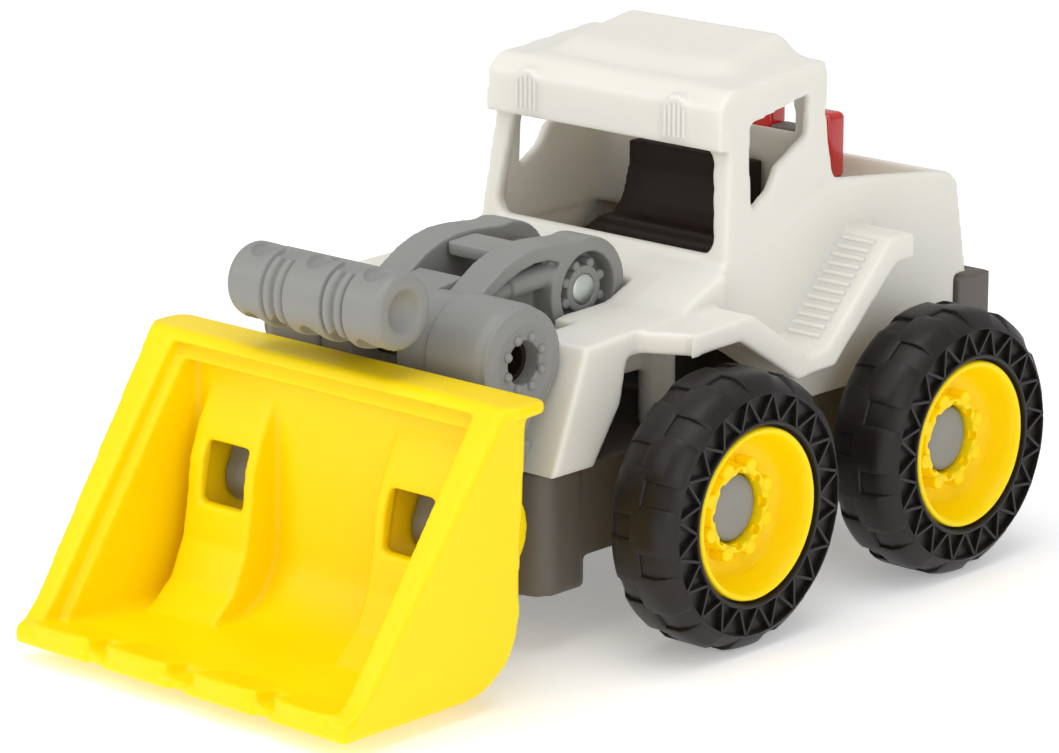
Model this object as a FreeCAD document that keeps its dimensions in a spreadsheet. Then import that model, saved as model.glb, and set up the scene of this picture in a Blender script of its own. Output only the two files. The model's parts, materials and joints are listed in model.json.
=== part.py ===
"""Toy front loader: a parametric FreeCAD document, in millimetres.

X points to the vehicle's left, the front faces -Y and +Z is up. Sizes are worked out from the
point on the ground under the front axle; each finished piece is then moved along Y by half the
difference of the front and rear reach, which puts the frame's origin at the middle of the
object's base.
"""
import FreeCAD, Part
import math
import os
import re
import Sketcher

Vector = FreeCAD.Vector
Rotation = FreeCAD.Rotation

# Driving sizes in mm. "_y" is a distance behind the front axle, "_z" a height over the ground,
# "_half" a distance from the middle plane. A text is a formula of other sizes.
SIZES = {
    # whole vehicle
    "front_reach": 98.9, "rear_reach": 101.6, "wheelbase": 65.7,
    "wall": 2.0, "gap": 0.3, "run_fit": 0.05,
    # wheels
    "tyre_radius": 27.0, "tyre_width": 16.7, "tyre_outer_half": 56.8, "rim_radius": 16.8,
    "shoulder": 3.4, "groove_depth": 1.2, "groove_width": 2.6, "lip_inset": 0.4,
    "lip_width": 1.6, "dish_depth": 8.1, "web_thick": 2.1, "hub_radius": 8.7,
    "hub_recess_radius": 7.0, "hub_inset": 4.6, "lobe_radius": 1.7, "boss_radius": 4.0,
    "axle_radius": 1.5, "cap_radius": 6.55, "cap_thick": 2.2, "cap_round": 1.0,
    # chassis
    "tray_half": 30.0, "tray_low_z": 18.0, "tray_top_z": 36.2, "tray_front_y": -20.0,
    "block_half": 30.5, "block_front_y": -33.0, "block_back_y": -17.0, "block_low_z": 12.0,
    "block_round": 6.0, "bumper_half": 33.0, "bumper_front_y": 91.0, "bumper_low_z": 36.2,
    "bumper_top_z": 52.5, "pillar_half": 10.0, "axle_boss_radius": 5.0, "axle_boss_half": 39.4,
    "tower_half": 5.7, "tower_round": 7.5,
    # body shell
    "nose_half": 34.0, "hull_half": 32.5, "shell_low_z": 36.5, "nose_low_y": -33.0,
    "nose_top_y": "=elbow_y + elbow_radius + 2", "nose_top_z": 60.0, "rail_back_y": 3.0, "rail_back_z": 61.4,
    "cowl_y": 19.0, "cowl_z": 68.1, "channel_half": 20.0, "channel_back_y": 14.0,
    "channel_low_z": 50.0, "ridge_front_z": 79.6, "ridge_back_y": 88.0, "ridge_back_z": 75.3,
    "tail_top_y": 90.8, "tail_top_z": 72.9, "tail_low_y": 94.4, "tail_low_z": 53.2,
    "deck_z": 69.0, "deck_front_y": 54.0, "deck_back_y": 87.0,
    "arch_front_y": -22.0, "arch_knee_y": -13.8, "arch_knee_z": 47.4, "arch_top_y": -12.0,
    "arch_top_z": 55.8, "fender_half": 44.5, "fender_top_z": 61.4, "fender_front_y": -11.0,
    "fender_turn_y": 10.0, "fender_low_z": 46.0, "fender_low_y": 26.0, "fender_dip_y": 37.4,
    "fender_thick": 4.4, "fender_rear_y": 55.0, "fender_rear_z": 69.2, "fender_end_y": 62.0,
    "bevel_block": 20.0,
    # cab
    "cab_base_z": 66.0, "cab_base_front_y": 17.8, "cab_base_back_y": 53.5, "cab_roof_half": 30.0,
    "cab_roof_front_y": 22.6, "cab_roof_back_y": 49.5, "roof_low_z": 90.0, "roof_front_y": 18.0,
    "roof_half": 30.6, "roof_brow_z": 98.5, "roof_front_z": 101.2, "roof_back_z": 103.6,
    "roof_back_y": 51.0, "crown_half": 23.5, "crown_front_y": 24.5, "crown_back_y": 50.0,
    "crown_front_z": 102.9, "crown_back_z": 107.5, "screen_low_half": 28.7,
    "screen_top_half": 26.1, "screen_low_z": 69.2, "screen_top_z": 89.9, "screen_round": 3.0,
    "rear_window_half": 24.0, "rear_window_low_z": 88.1, "rear_window_top_z": 98.0,
    "side_top_front_y": 27.3, "side_top_front_z": 94.0, "side_top_back_y": 45.5,
    "side_top_back_z": 97.5, "side_mid_back_y": 44.8, "side_mid_back_z": 89.3,
    "side_step_y": 35.4, "side_step_z": 84.8, "side_low_back_y": 32.7, "side_low_back_z": 80.4,
    "side_low_front_y": 26.7, "side_low_front_z": 76.9,
    # cab interior and beacons
    "seat_half": 20.0, "seat_back_z": 81.8, "seat_back_y": 44.5, "floor_half": 27.5,
    "floor_z": 62.0, "floor_front_y": 22.5, "seat_round": 1.5, "beacon_y": 77.0, "beacon_depth": 4.9,
    "beacon_in_half": 3.8, "beacon_width": 8.0, "beacon_low_z": 72.0, "beacon_top_z": 86.0,
    "beacon_round": 2.0, "beacon_bar_z": 82.0,
    # loader arms
    "lift_y": -1.0, "lift_z": 63.7, "arm_in_half": 6.0, "arm_out_half": 14.0, "ring_radius": 10.5,
    "ring_recess_radius": 7.3, "ring_recess_depth": 3.0, "pin_radius": 3.0, "pin_boss_radius": 4.6,
    "arm_top_z": 74.5, "strut_radius": 2.6, "elbow_y": -36.0, "elbow_z": 58.8, "elbow_radius": 10.4,
    "elbow_out_half": 29.0, "elbow_bore_radius": 4.15, "elbow_recess_radius": 8.0,
    "elbow_recess_depth": 2.2, "leg_in_half": 18.2, "leg_out_half": 31.6,
    # grip
    "grip_y": -58.0, "grip_z": 71.0, "grip_radius": 7.25, "grip_half": 20.0,
    "grip_dimple_radius": 4.2, "grip_dimple_depth": 2.0, "neck_half": 5.8,
    # bucket
    "tilt_y": -49.0, "tilt_z": 29.0, "bucket_low_z": 3.5, "bucket_low_half": 43.5,
    "bucket_top_half": 47.0, "bucket_back_y": -53.8, "bucket_heel_y": -67.0,
    "bucket_heel_z": 7.4, "bucket_heel_mid_y": -60.3, "bucket_hip_y": -55.2, "bucket_hip_z": 15.8,
    "bucket_skin": 2.2, "lip_low_z": 55.6, "lip_top_z": 58.0, "lip_front_y": -59.4,
    "lip_back_y": -49.0, "lip_half": 48.6, "lip_round": 3.0, "tooth_notch": 5.5, "tooth_depth": 1.8,
    "tooth_pitch": 22.5, "pocket_in_half": 16.0, "pocket_out_half": 33.8, "pocket_skin": 1.7,
    "pocket_front_y": -63.0, "pocket_knee_z": 26.0, "pocket_top_y": -60.0, "pocket_top_z": 40.0,
    "window_in_half": 18.6, "window_out_half": 30.0, "window_low_z": 26.0, "window_top_z": 38.0,
    "lug_radius": 9.4, "eye_radius": 6.0, "hinge_radius": 1.5,
    # screws
    "screw_half": 22.0, "screw_front_y": 10.0, "screw_back_y": 58.0, "screw_head_radius": 3.0,
    "screw_head_thick": 1.5, "screw_radius": 1.2, "screw_length": 10.0, "post_radius": 3.6,
}

GROOVES = 12          # tread grooves round one shoulder of a tyre
HUB_LOBES = 8         # bumps round each wheel's hub
BOSS_BUMPS = 8        # bumps round each bore of the loader arms
FENDER_BEVEL = 25     # degrees that a fender's front end slants back
SIDES = {"left": 1, "right": -1}

doc = FreeCAD.newDocument("toy_front_loader")
sheet = doc.addObject("Spreadsheet::Sheet", "Sizes")
for row, alias in enumerate(SIZES, start=1):
    sheet.set(f"A{row}", alias)
    sheet.setAlias(f"B{row}", alias)
for row, size in enumerate(SIZES.values(), start=1):
    sheet.set(f"B{row}", str(size))
doc.recompute()

PIECES = []           # finished objects, one for each piece of the toy
STANDS = {}           # the Y formula that each placed object stands at


# ---- small modelling helpers -------------------------------------------------------------------

def on_sheet(text):
    """Turn a formula of size names into an expression that reads the spreadsheet."""
    return re.sub(r"\b(?!sqrt\b|tan\b)([a-z][a-z_]+)\b", r"Sizes.\1", str(text))


def value(text):
    """A formula's present value."""
    return float(sheet.evalExpression(on_sheet(text)))


def bind(item, **formulas):
    """Bind properties to formulas; a double underscore stands for a dot."""
    for name, text in formulas.items():
        item.setExpression(name.replace("__", "."), on_sheet(text))


def place(item, x="0", y="0", z="0", turn=None):
    """Bind where an object stands, and turn it."""
    if turn is not None:
        item.Placement = FreeCAD.Placement(Vector(), turn)
    bind(item, Placement__Base__x=x, Placement__Base__y=y, Placement__Base__z=z)
    STANDS[item.Name] = y
    return item


def block(name, x, y, z):
    """A box between pairs of formulas."""
    item = doc.addObject("Part::Box", name)
    bind(item, Length=f"({x[1]}) - ({x[0]})", Width=f"({y[1]}) - ({y[0]})",
         Height=f"({z[1]}) - ({z[0]})")
    return place(item, x[0], y[0], z[0])


def rod(name, radius, x, y, z):
    """A cylinder along X, between the pair of formulas x."""
    item = doc.addObject("Part::Cylinder", name)
    bind(item, Radius=radius, Height=f"({x[1]}) - ({x[0]})")
    return place(item, x[0], y, z, Rotation(Vector(0, 1, 0), 90))


def post(name, radius, x, y, z):
    """A cylinder along Z, between the pair of formulas z."""
    item = doc.addObject("Part::Cylinder", name)
    bind(item, Radius=radius, Height=f"({z[1]}) - ({z[0]})")
    return place(item, x, y, z[0])


def outline(name, points):
    """A closed sketch of straight lines whose corners are pairs of formulas."""
    sketch = doc.addObject("Sketcher::SketchObject", name)
    corners = [Vector(value(a), value(b), 0) for a, b in points]
    for start, end in zip(corners, corners[1:] + corners[:1]):
        sketch.addGeometry(Part.LineSegment(start, end))
    for index, (across, up) in enumerate(points):
        after = (index + 1) % len(points)
        sketch.addConstraint(Sketcher.Constraint("Coincident", index, 2, after, 1))
        for kind, formula in (("DistanceX", across), ("DistanceY", up)):
            number = sketch.addConstraint(
                Sketcher.Constraint(kind, -1, 1, index, 1, value(formula)))
            sketch.setExpression(f"Constraints[{number}]", on_sheet(formula))
    return sketch


def profile(name, points, x):
    """A solid whose outline lies in the YZ plane, drawn out along X between a pair of formulas."""
    sketch = place(outline(name + "_outline", points), x=x[0], turn=Rotation(Vector(1, 1, 1), 120))
    item = doc.addObject("Part::Extrusion", name)
    item.Base = sketch
    item.DirMode = "Normal"
    item.Solid = True
    bind(item, LengthFwd=f"({x[1]}) - ({x[0]})")
    return item


def front_profile(name, points, y):
    """A solid whose outline lies in the XZ plane, drawn out along Y between a pair of formulas."""
    sketch = place(outline(name + "_outline", points), y=y[1], turn=Rotation(Vector(1, 0, 0), 90))
    item = doc.addObject("Part::Extrusion", name)
    item.Base = sketch
    item.DirMode = "Normal"
    item.Solid = True
    bind(item, LengthFwd=f"({y[1]}) - ({y[0]})")
    return item


def turned(name, points):
    """A solid turned about X from an outline of (place along X, radius) pairs."""
    item = doc.addObject("Part::Revolution", name)
    item.Source = outline(name + "_outline", points)
    item.Axis = Vector(1, 0, 0)
    item.Solid = True
    return item


def fuse(name, *parts):
    """The parts joined into one solid, without the seams between them."""
    item = doc.addObject("Part::MultiFuse", name)
    item.Shapes = list(parts)
    item.Refine = True
    return item


def cut(name, base, *tools):
    """The base with each tool taken away."""
    item = doc.addObject("Part::Cut", name)
    item.Base = base
    item.Tool = tools[0] if len(tools) == 1 else fuse(name + "_tools", *tools)
    item.Refine = True
    return item


def common(name, one, other):
    """What two solids share."""
    item = doc.addObject("Part::MultiCommon", name)
    item.Shapes = [one, other]
    return item


def mirrored(name, source):
    """The source seen in the middle plane."""
    item = doc.addObject("Part::Mirroring", name)
    item.Source = source
    item.Normal = Vector(1, 0, 0)
    return item


def both(name, source):
    """The source and its mirror image, as one solid."""
    return fuse(name, source, mirrored(name + "_mirror", source))


def rounded(name, base, radius, chosen):
    """The base with a fillet on each edge that the function chosen accepts."""
    doc.recompute()
    item = doc.addObject("Part::Fillet", name)
    item.Base = base
    size = value(radius)
    edges = enumerate(base.Shape.Edges, start=1)
    item.Edges = [(number, size, size) for number, edge in edges if chosen(edge)]
    return item


def runs_along(edge, axis):
    """Whether an edge is straight and lies along an axis."""
    if edge.Curve.TypeId != "Part::GeomLine":
        return False
    return abs(edge.tangentAt(edge.FirstParameter).dot(axis)) > 0.999


def piece(node, item):
    """Finish a piece modelled over the front axle: name it and move it into the row frame."""
    item.Label = node
    stand = STANDS.get(item.Name, "0")
    bind(item, Placement__Base__y=f"{stand} + (front_reach - rear_reach) / 2")
    PIECES.append(item)
    return item


def twin(node, item):
    """The mirror image of a finished piece, as a piece of its own."""
    image = mirrored(node, item)
    image.Label = node
    PIECES.append(image)


# ---- wheels ------------------------------------------------------------------------------------

def plane_of(body, role):
    return next(item for item in body.Origin.OriginFeatures if item.Role == role)


def body_sketch(body, name, plane, points, tilt=0.0):
    """A closed sketch of formula pairs on one of the body's own planes, tilted about X."""
    sketch = outline(name, points)
    body.addObject(sketch)
    sketch.AttachmentSupport = [(plane_of(body, plane), "")]
    sketch.MapMode = "FlatFace"
    sketch.AttachmentOffset = FreeCAD.Placement(Vector(), Rotation(Vector(1, 0, 0), tilt))
    return sketch


def tread_pocket(body, name, along, tilt):
    """One cross groove in the tread, and its copies round the tyre."""
    sketch = body_sketch(body, name + "_sketch", "XZ_Plane",
                         [(along[0], "tyre_radius - groove_depth"),
                          (along[1], "tyre_radius - groove_depth"),
                          (along[1], "tyre_radius + 1"), (along[0], "tyre_radius + 1")], tilt)
    pocket = body.newObject("PartDesign::Pocket", name)
    pocket.Profile = sketch
    pocket.Midplane = True
    bind(pocket, Length="groove_width")
    doc.recompute()
    ring = body.newObject("PartDesign::PolarPattern", name + "_ring")
    ring.Originals = [pocket]
    ring.Axis = (plane_of(body, "X_Axis"), [""])
    ring.Angle = 360.0
    ring.Occurrences = GROOVES
    body.Tip = ring
    doc.recompute()


def tyre(node):
    """A moulded tyre whose two rows of tread grooves are half a step apart."""
    body = doc.addObject("PartDesign::Body", node)
    section = body_sketch(body, node + "_section", "XY_Plane", [
        ("-lip_inset", "rim_radius"), ("0", "rim_radius + 1.2"), ("0", "tyre_radius - shoulder"),
        ("-shoulder * 0.6", "tyre_radius - shoulder * 0.3"), ("-shoulder * 1.2", "tyre_radius"),
        ("shoulder * 1.2 - tyre_width", "tyre_radius"),
        ("shoulder * 0.6 - tyre_width", "tyre_radius - shoulder * 0.3"),
        ("-tyre_width", "tyre_radius - shoulder"), ("-tyre_width", "rim_radius + 1.2"),
        ("lip_inset - tyre_width", "rim_radius")])
    turning = body.newObject("PartDesign::Revolution", node + "_turning")
    turning.Profile = section
    turning.ReferenceAxis = (section, ["H_Axis"])
    turning.Angle = 360.0
    doc.recompute()
    tread_pocket(body, node + "_outer_groove", ("0.8 - tyre_width / 2", "1"), 0.0)
    tread_pocket(body, node + "_inner_groove", ("-1 - tyre_width", "-0.8 - tyre_width / 2"),
                 180.0 / GROOVES)
    return body


def rim(name):
    """A dished rim with a lobed hub, a recess for the axle cap and a boss along the axle."""
    barrel = turned(name + "_barrel", [
        ("-lip_inset", "rim_radius"), ("-lip_inset", "rim_radius - lip_width"),
        ("-lip_inset - dish_depth", "rim_radius - lip_width - 1.4"),
        ("-lip_inset - dish_depth", "hub_radius"), ("-lip_inset - hub_inset", "hub_radius"),
        ("-lip_inset - hub_inset", "hub_recess_radius"),
        ("-lip_inset - dish_depth - gap", "hub_recess_radius"),
        ("-lip_inset - dish_depth - gap", "axle_radius + run_fit"),
        ("lip_inset - tyre_width", "axle_radius + run_fit"),
        ("lip_inset - tyre_width", "boss_radius"),
        ("-lip_inset - dish_depth - web_thick", "boss_radius"),
        ("-lip_inset - dish_depth - web_thick", "rim_radius - lip_width - 1.4"),
        ("lip_inset - tyre_width", "rim_radius - lip_width"),
        ("lip_inset - tyre_width", "rim_radius")])
    lobes = []
    for count in range(HUB_LOBES):
        angle = 2 * math.pi * count / HUB_LOBES
        lobes.append(rod(f"{name}_lobe_{count}", "lobe_radius",
                         ("-lip_inset - dish_depth", "-lip_inset - hub_inset"),
                         f"(hub_radius - 0.3) * {math.cos(angle):.6f}",
                         f"(hub_radius - 0.3) * {math.sin(angle):.6f}"))
    bore = rod(name + "_recess", "hub_recess_radius",
               ("-lip_inset - dish_depth", "0"), "0", "0")
    return fuse(name, barrel, cut(name + "_lobes", fuse(name + "_lobe_ring", *lobes), bore))


def axle_cap(name):
    """A round-edged cap, pressed on an axle's end, that keeps the wheel on."""
    low = "-lip_inset - dish_depth"
    disc = rod(name + "_disc", "cap_radius", (low, low + " + cap_thick"), "0", "0")
    face = value(low + " + cap_thick")
    soft = rounded(name + "_soft", disc, "cap_round",
                   lambda edge: abs(edge.BoundBox.XMin - face) < 0.01 and edge.BoundBox.XLength < 0.01)
    socket = rod(name + "_socket", "axle_radius", (low, low + " + cap_thick - 1"), "0", "0")
    return cut(name, soft, socket)


def wheel_place(item, node, side, axle_y):
    """Put a wheel piece on its axle: as modelled on the left, turned half round on the right."""
    if side < 0:
        item.Placement = FreeCAD.Placement(Vector(), Rotation(Vector(0, 0, 1), 180))
    item.Label = node
    bind(item, Placement__Base__x=f"{side} * tyre_outer_half",
         Placement__Base__y=f"{axle_y} + (front_reach - rear_reach) / 2",
         Placement__Base__z="tyre_radius")
    PIECES.append(item)


def wheels():
    """Four wheels, each a tyre, a rim and an axle cap, and the two axles."""
    for axle, axle_y in (("front", "0"), ("rear", "wheelbase")):
        for side_name, side in SIDES.items():
            corner = f"{axle}_{side_name}"
            wheel_place(tyre(f"tyre_{corner}"), f"tyre_{corner}", side, axle_y)
            wheel_place(rim(f"rim_{corner}"), f"rim_{corner}", side, axle_y)
            wheel_place(axle_cap(f"axle_cap_{corner}"), f"axle_cap_{corner}", side, axle_y)
        reach = "tyre_outer_half - lip_inset - dish_depth + cap_thick - 1"
        piece(f"axle_{axle}", rod(f"axle_{axle}_rod", "axle_radius", (f"-({reach})", reach),
                                  axle_y, "tyre_radius"))


# ---- chassis -----------------------------------------------------------------------------------

def screw_places():
    """The four screws' places: a name, formulas for x and y, and the height of the post's top."""
    for row_name, along, top in (("front", "screw_front_y", "floor_z - 4"),
                                 ("back", "screw_back_y", "deck_z - wall / 2")):
        for side_name, side in SIDES.items():
            yield f"{row_name}_{side_name}", f"{side} * screw_half", along, top


def chassis():
    """The grey base: front block, tray, axle bosses, rear bumper, arm tower and cab pillar."""
    front = rounded("front_block", block("front_block_square", ("-block_half", "block_half"),
                                         ("block_front_y", "block_back_y"),
                                         ("block_low_z", "tray_top_z")),
                    "block_round", lambda edge: runs_along(edge, Vector(0, 0, 1)))
    tray = block("tray", ("-tray_half", "tray_half"), ("tray_front_y", "bumper_front_y + 1"),
                 ("tray_low_z", "tray_top_z"))
    hollow = block("tray_hollow", ("wall - tray_half", "tray_half - wall"),
                   ("block_back_y + wall", "bumper_front_y - wall"),
                   ("tray_low_z - 1", "tray_top_z - 1.3 * wall"))
    bumper = block("bumper", ("-bumper_half", "bumper_half"), ("bumper_front_y", "rear_reach"),
                   ("bumper_low_z - 8", "bumper_top_z"))
    slot = block("bumper_slot", ("bumper_half - 7", "bumper_half - 4"),
                 ("tail_low_y + 1.5", "tail_low_y + 4.5"), ("bumper_top_z - 3", "bumper_top_z + 1"))
    bosses = [rod(f"axle_boss_{count}", "axle_boss_radius", ("-axle_boss_half", "axle_boss_half"),
                  along, "tyre_radius") for count, along in enumerate(("0", "wheelbase"))]
    bores = [rod(f"axle_bore_{count}", "axle_radius", ("-tyre_outer_half", "tyre_outer_half"),
                 along, "tyre_radius") for count, along in enumerate(("0", "wheelbase"))]
    tower_top = rod("tower_top", "tower_round", ("-tower_half", "tower_half"), "lift_y", "lift_z")
    tower_leg = block("tower_leg", ("-tower_half", "tower_half"),
                      ("lift_y - tower_round", "lift_y + tower_round"), ("tray_top_z - 1", "lift_z"))
    pin_bore = rod("tower_bore", "pin_radius + run_fit", ("-tower_half - 1", "tower_half + 1"),
                   "lift_y", "lift_z")
    pillar = block("cab_pillar", ("-pillar_half", "pillar_half"), ("floor_front_y + 4", "seat_back_y - 4"),
                   ("tray_top_z - 1", "floor_z - wall"))
    holes = [post(f"screw_hole_{name}", "screw_radius + run_fit", x, y,
                  ("tray_low_z", "tray_top_z + 1")) for name, x, y, top in screw_places()]
    solid = fuse("chassis_solid", cut("tray_open", tray, hollow), front, bumper, *bosses,
                 tower_top, tower_leg, pillar)
    piece("chassis", cut("chassis_cut", solid, slot, pin_bore, *bores, *holes))


def screws():
    """Four screws, driven up through the tray into the shell's posts."""
    parts = []
    for name, x, y, top in screw_places():
        under = "tray_top_z - 1.3 * wall"
        head = post(f"screw_head_{name}", "screw_head_radius", x, y,
                    (f"{under} - screw_head_thick", under))
        shank = post(f"screw_shank_{name}", "screw_radius", x, y,
                     (under, f"{under} + screw_length"))
        parts.append(fuse(f"screw_{name}", head, shank))
    group = doc.addObject("Part::Compound", "screw_group")
    group.Links = parts
    piece("chassis_screws", group)


# ---- body shell --------------------------------------------------------------------------------

def hull():
    """The lower body: nose rails, cowl, flanks and tail, hollow and open underneath."""
    flank = [("nose_low_y", "shell_low_z"), ("nose_top_y", "nose_top_z"),
             ("rail_back_y", "rail_back_z"), ("cowl_y", "cowl_z"),
             ("cab_base_back_y - 1", "ridge_front_z"), ("ridge_back_y", "ridge_back_z"),
             ("tail_top_y", "tail_top_z"), ("tail_low_y", "tail_low_z"),
             ("bumper_front_y - gap", "tail_low_z"), ("bumper_front_y - gap", "shell_low_z")]
    nose = [("nose_low_y", "shell_low_z"), ("nose_top_y", "nose_top_z"),
            ("rail_back_y", "rail_back_z"), ("cowl_y - 2", "cowl_z - 1"), ("cowl_y - 2", "shell_low_z")]
    room = [("nose_low_y + 1.2 * wall", "shell_low_z - 1"),
            ("nose_top_y + wall", "nose_top_z - wall"), ("rail_back_y", "rail_back_z - wall"),
            ("cowl_y", "cowl_z - wall"), ("cab_base_back_y - wall", "deck_z - wall"),
            ("tail_top_y - wall", "deck_z - wall"), ("tail_low_y - wall", "tail_low_z + wall"),
            ("bumper_front_y - gap - wall", "tail_low_z + wall"),
            ("bumper_front_y - gap - wall", "shell_low_z - 1")]
    outer = fuse("hull_outer", profile("flank", flank, ("-hull_half", "hull_half")),
                 profile("nose", nose, ("-nose_half", "nose_half")))
    inner = profile("hull_room", room, ("wall - hull_half", "hull_half - wall"))
    channel = block("channel", ("-channel_half", "channel_half"),
                    ("nose_low_y - 10", "channel_back_y"), ("channel_low_z", "cowl_z + 10"))
    recess = block("deck_recess", ("wall * 1.5 - hull_half", "hull_half - wall * 1.5"),
                   ("deck_front_y", "deck_back_y"), ("deck_z", "cowl_z + 30"))
    lining = cut("channel_lining",
                 block("channel_box", ("-channel_half - wall", "channel_half + wall"),
                       ("nose_top_y", "channel_back_y + wall"),
                       ("channel_low_z - wall", "nose_top_z - wall / 2")),
                 block("channel_space", ("-channel_half", "channel_half"),
                       ("nose_low_y", "channel_back_y"), ("channel_low_z", "cowl_z")),
                 block("tower_way", ("-tower_half - 1", "tower_half + 1"),
                       ("lift_y - tower_round - 1", "lift_y + tower_round + 1"),
                       ("channel_low_z - wall - 1", "channel_low_z + 1")))
    return fuse("hull", cut("hull_cut", outer, inner, channel, recess), lining)


def arches():
    """What the wheel arches take out of the nose and flanks."""
    front = profile("front_arch", [
        ("arch_front_y", "shell_low_z - 1"), ("arch_knee_y", "arch_knee_z"),
        ("arch_top_y", "arch_top_z"), ("fender_turn_y - 1", "fender_top_z - fender_thick"),
        ("fender_low_y", "fender_low_z"), ("fender_low_y", "shell_low_z - 1")],
        ("hull_half - 3 * wall", "nose_half + 20"))
    return both("front_arches", front)


def fenders():
    """A strip along each side: over the front wheel, down to the step and up to the rear wheel."""
    strip = profile("fender_strip", [
        ("fender_front_y", "fender_top_z - fender_thick - 1"),
        ("fender_turn_y - 1.5", "fender_top_z - fender_thick"),
        ("fender_low_y", "fender_low_z"), ("fender_dip_y", "fender_low_z + 0.8"),
        ("fender_rear_y + 1", "fender_rear_z - fender_thick - 1.2"),
        ("fender_end_y", "fender_rear_z - fender_thick - 1"),
        ("fender_end_y - 0.7", "fender_rear_z"), ("fender_rear_y - 0.5", "fender_rear_z"),
        ("fender_dip_y - 2.4", "fender_low_z + fender_thick + 0.2"),
        ("fender_low_y + 3.5", "fender_low_z + 3.9"), ("fender_turn_y + 2.5", "fender_top_z"),
        ("fender_front_y + 1", "fender_top_z - 1")], ("hull_half - wall", "fender_half"))
    bevel = doc.addObject("Part::Box", "fender_bevel")
    bind(bevel, Length="bevel_block", Width="bevel_block", Height="bevel_block")
    place(bevel, "nose_half", "fender_front_y - bevel_block", "fender_top_z - 0.7 * bevel_block",
          Rotation(Vector(0, 0, 1), FENDER_BEVEL))
    return both("fenders", cut("fender", strip, bevel))


def tapered(name, inset, low, high):
    """The cab's leaning walls, set in by a wall thickness, between two heights."""
    item = doc.addObject("Part::Wedge", name)
    item.Placement = FreeCAD.Placement(Vector(), Rotation(Vector(1, 0, 0), 90))
    bind(item, Ymin=low, Ymax=high,
         Xmin=f"{inset} - hull_half", Xmax=f"hull_half - {inset}",
         X2min=f"{inset} - cab_roof_half", X2max=f"cab_roof_half - {inset}",
         Zmin=f"{inset} - cab_base_back_y", Zmax=f"-cab_base_front_y - {inset}",
         Z2min=f"{inset} - cab_roof_back_y", Z2max=f"-cab_roof_front_y - {inset}")
    return item


def cab():
    """The cab with its roof, hollow, open at the screen, the sides and the back."""
    walls = tapered("cab_walls", "0", "cab_base_z", "roof_back_z - 2")
    roof = profile("roof", [
        ("roof_front_y", "roof_low_z"), ("roof_front_y + 0.3", "roof_brow_z"),
        ("roof_front_y + 3.5", "roof_front_z"), ("roof_back_y - 1", "roof_back_z"),
        ("roof_back_y", "roof_back_z - 3"), ("roof_back_y - 0.5", "roof_low_z + 3"),
        ("cab_roof_back_y - 4", "roof_low_z + 6"), ("cab_roof_front_y + 4", "roof_low_z + 3"),
        ("cab_roof_front_y + 1", "roof_low_z")], ("-roof_half", "roof_half"))
    crown = profile("crown", [
        ("crown_front_y - 3", "roof_front_z - 1"), ("crown_front_y", "crown_front_z"),
        ("crown_back_y - 1", "crown_back_z"), ("crown_back_y + 1", "crown_back_z - 2"),
        ("crown_back_y", "roof_back_z - 1")], ("-crown_half", "crown_half"))
    solid = fuse("cab_solid", walls, roof, crown)
    room = tapered("cab_room", "wall", "cab_base_z - 8", "roof_back_z - 3.5")
    screen = rounded("screen", front_profile("screen_square", [
        ("-screen_low_half", "screen_low_z"), ("screen_low_half", "screen_low_z"),
        ("screen_top_half", "screen_top_z"), ("-screen_top_half", "screen_top_z")],
        ("cab_base_front_y - 10", "cab_base_front_y + 10")), "screen_round",
        lambda edge: runs_along(edge, Vector(0, 1, 0)))
    side_window = profile("side_window", [
        ("side_top_front_y", "side_top_front_z"), ("side_top_back_y", "side_top_back_z"),
        ("side_mid_back_y", "side_mid_back_z"), ("side_step_y", "side_step_z"),
        ("side_low_back_y", "side_low_back_z"), ("side_low_front_y", "side_low_front_z")],
        ("-hull_half - 5", "hull_half + 5"))
    rear_window = block("rear_window", ("-rear_window_half", "rear_window_half"),
                        ("cab_roof_back_y - 5", "cab_roof_back_y + 2.5"),
                        ("rear_window_low_z", "rear_window_top_z"))
    return solid, [room, screen, side_window, rear_window]


def shell_posts():
    """Screw posts that stand on the tray inside the shell, and their holes."""
    posts, holes = [], []
    for name, x, y, top in screw_places():
        posts.append(post(f"post_{name}", "post_radius", x, y, ("tray_top_z", top)))
        holes.append(post(f"post_hole_{name}", "screw_radius", x, y,
                          ("tray_top_z - 1", "tray_top_z - 1.3 * wall + screw_length")))
    return posts, holes


def body_shell():
    """The white moulding: hull, fenders, cab and screw posts in one piece."""
    cab_solid, openings = cab()
    posts, holes = shell_posts()
    cab_shell = cut("cab_shell", cab_solid, openings[0])
    joined = fuse("shell_joined", cut("hull_open", hull(), arches(), tapered(
        "cab_floor_way", "wall", "cab_base_z - 8", "roof_back_z - 3.5")), fenders(), cab_shell,
        *posts)
    piece("body_shell", cut("shell_cut", joined, *openings[1:], *holes))


# ---- cab interior and beacons ------------------------------------------------------------------

def interior():
    """The grey seat and floor that show through the cab's windows."""
    floor = block("cab_floor", ("-floor_half", "floor_half"),
                  ("floor_front_y", "seat_back_y + 4"), ("floor_z - wall", "floor_z"))
    back = rounded("seat_back", block("seat_back_square", ("-seat_half", "seat_half"),
                                      ("seat_back_y", "seat_back_y + 4"),
                                      ("floor_z - wall", "seat_back_z")),
                   "seat_round", lambda edge: runs_along(edge, Vector(0, 1, 0)))
    cushion = block("seat_cushion", ("5 - seat_half", "seat_half - 5"),
                    ("seat_back_y - 9", "seat_back_y"), ("floor_z - wall", "floor_z + 6"))
    piece("cab_interior", fuse("interior_solid", floor, back, cushion))


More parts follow.
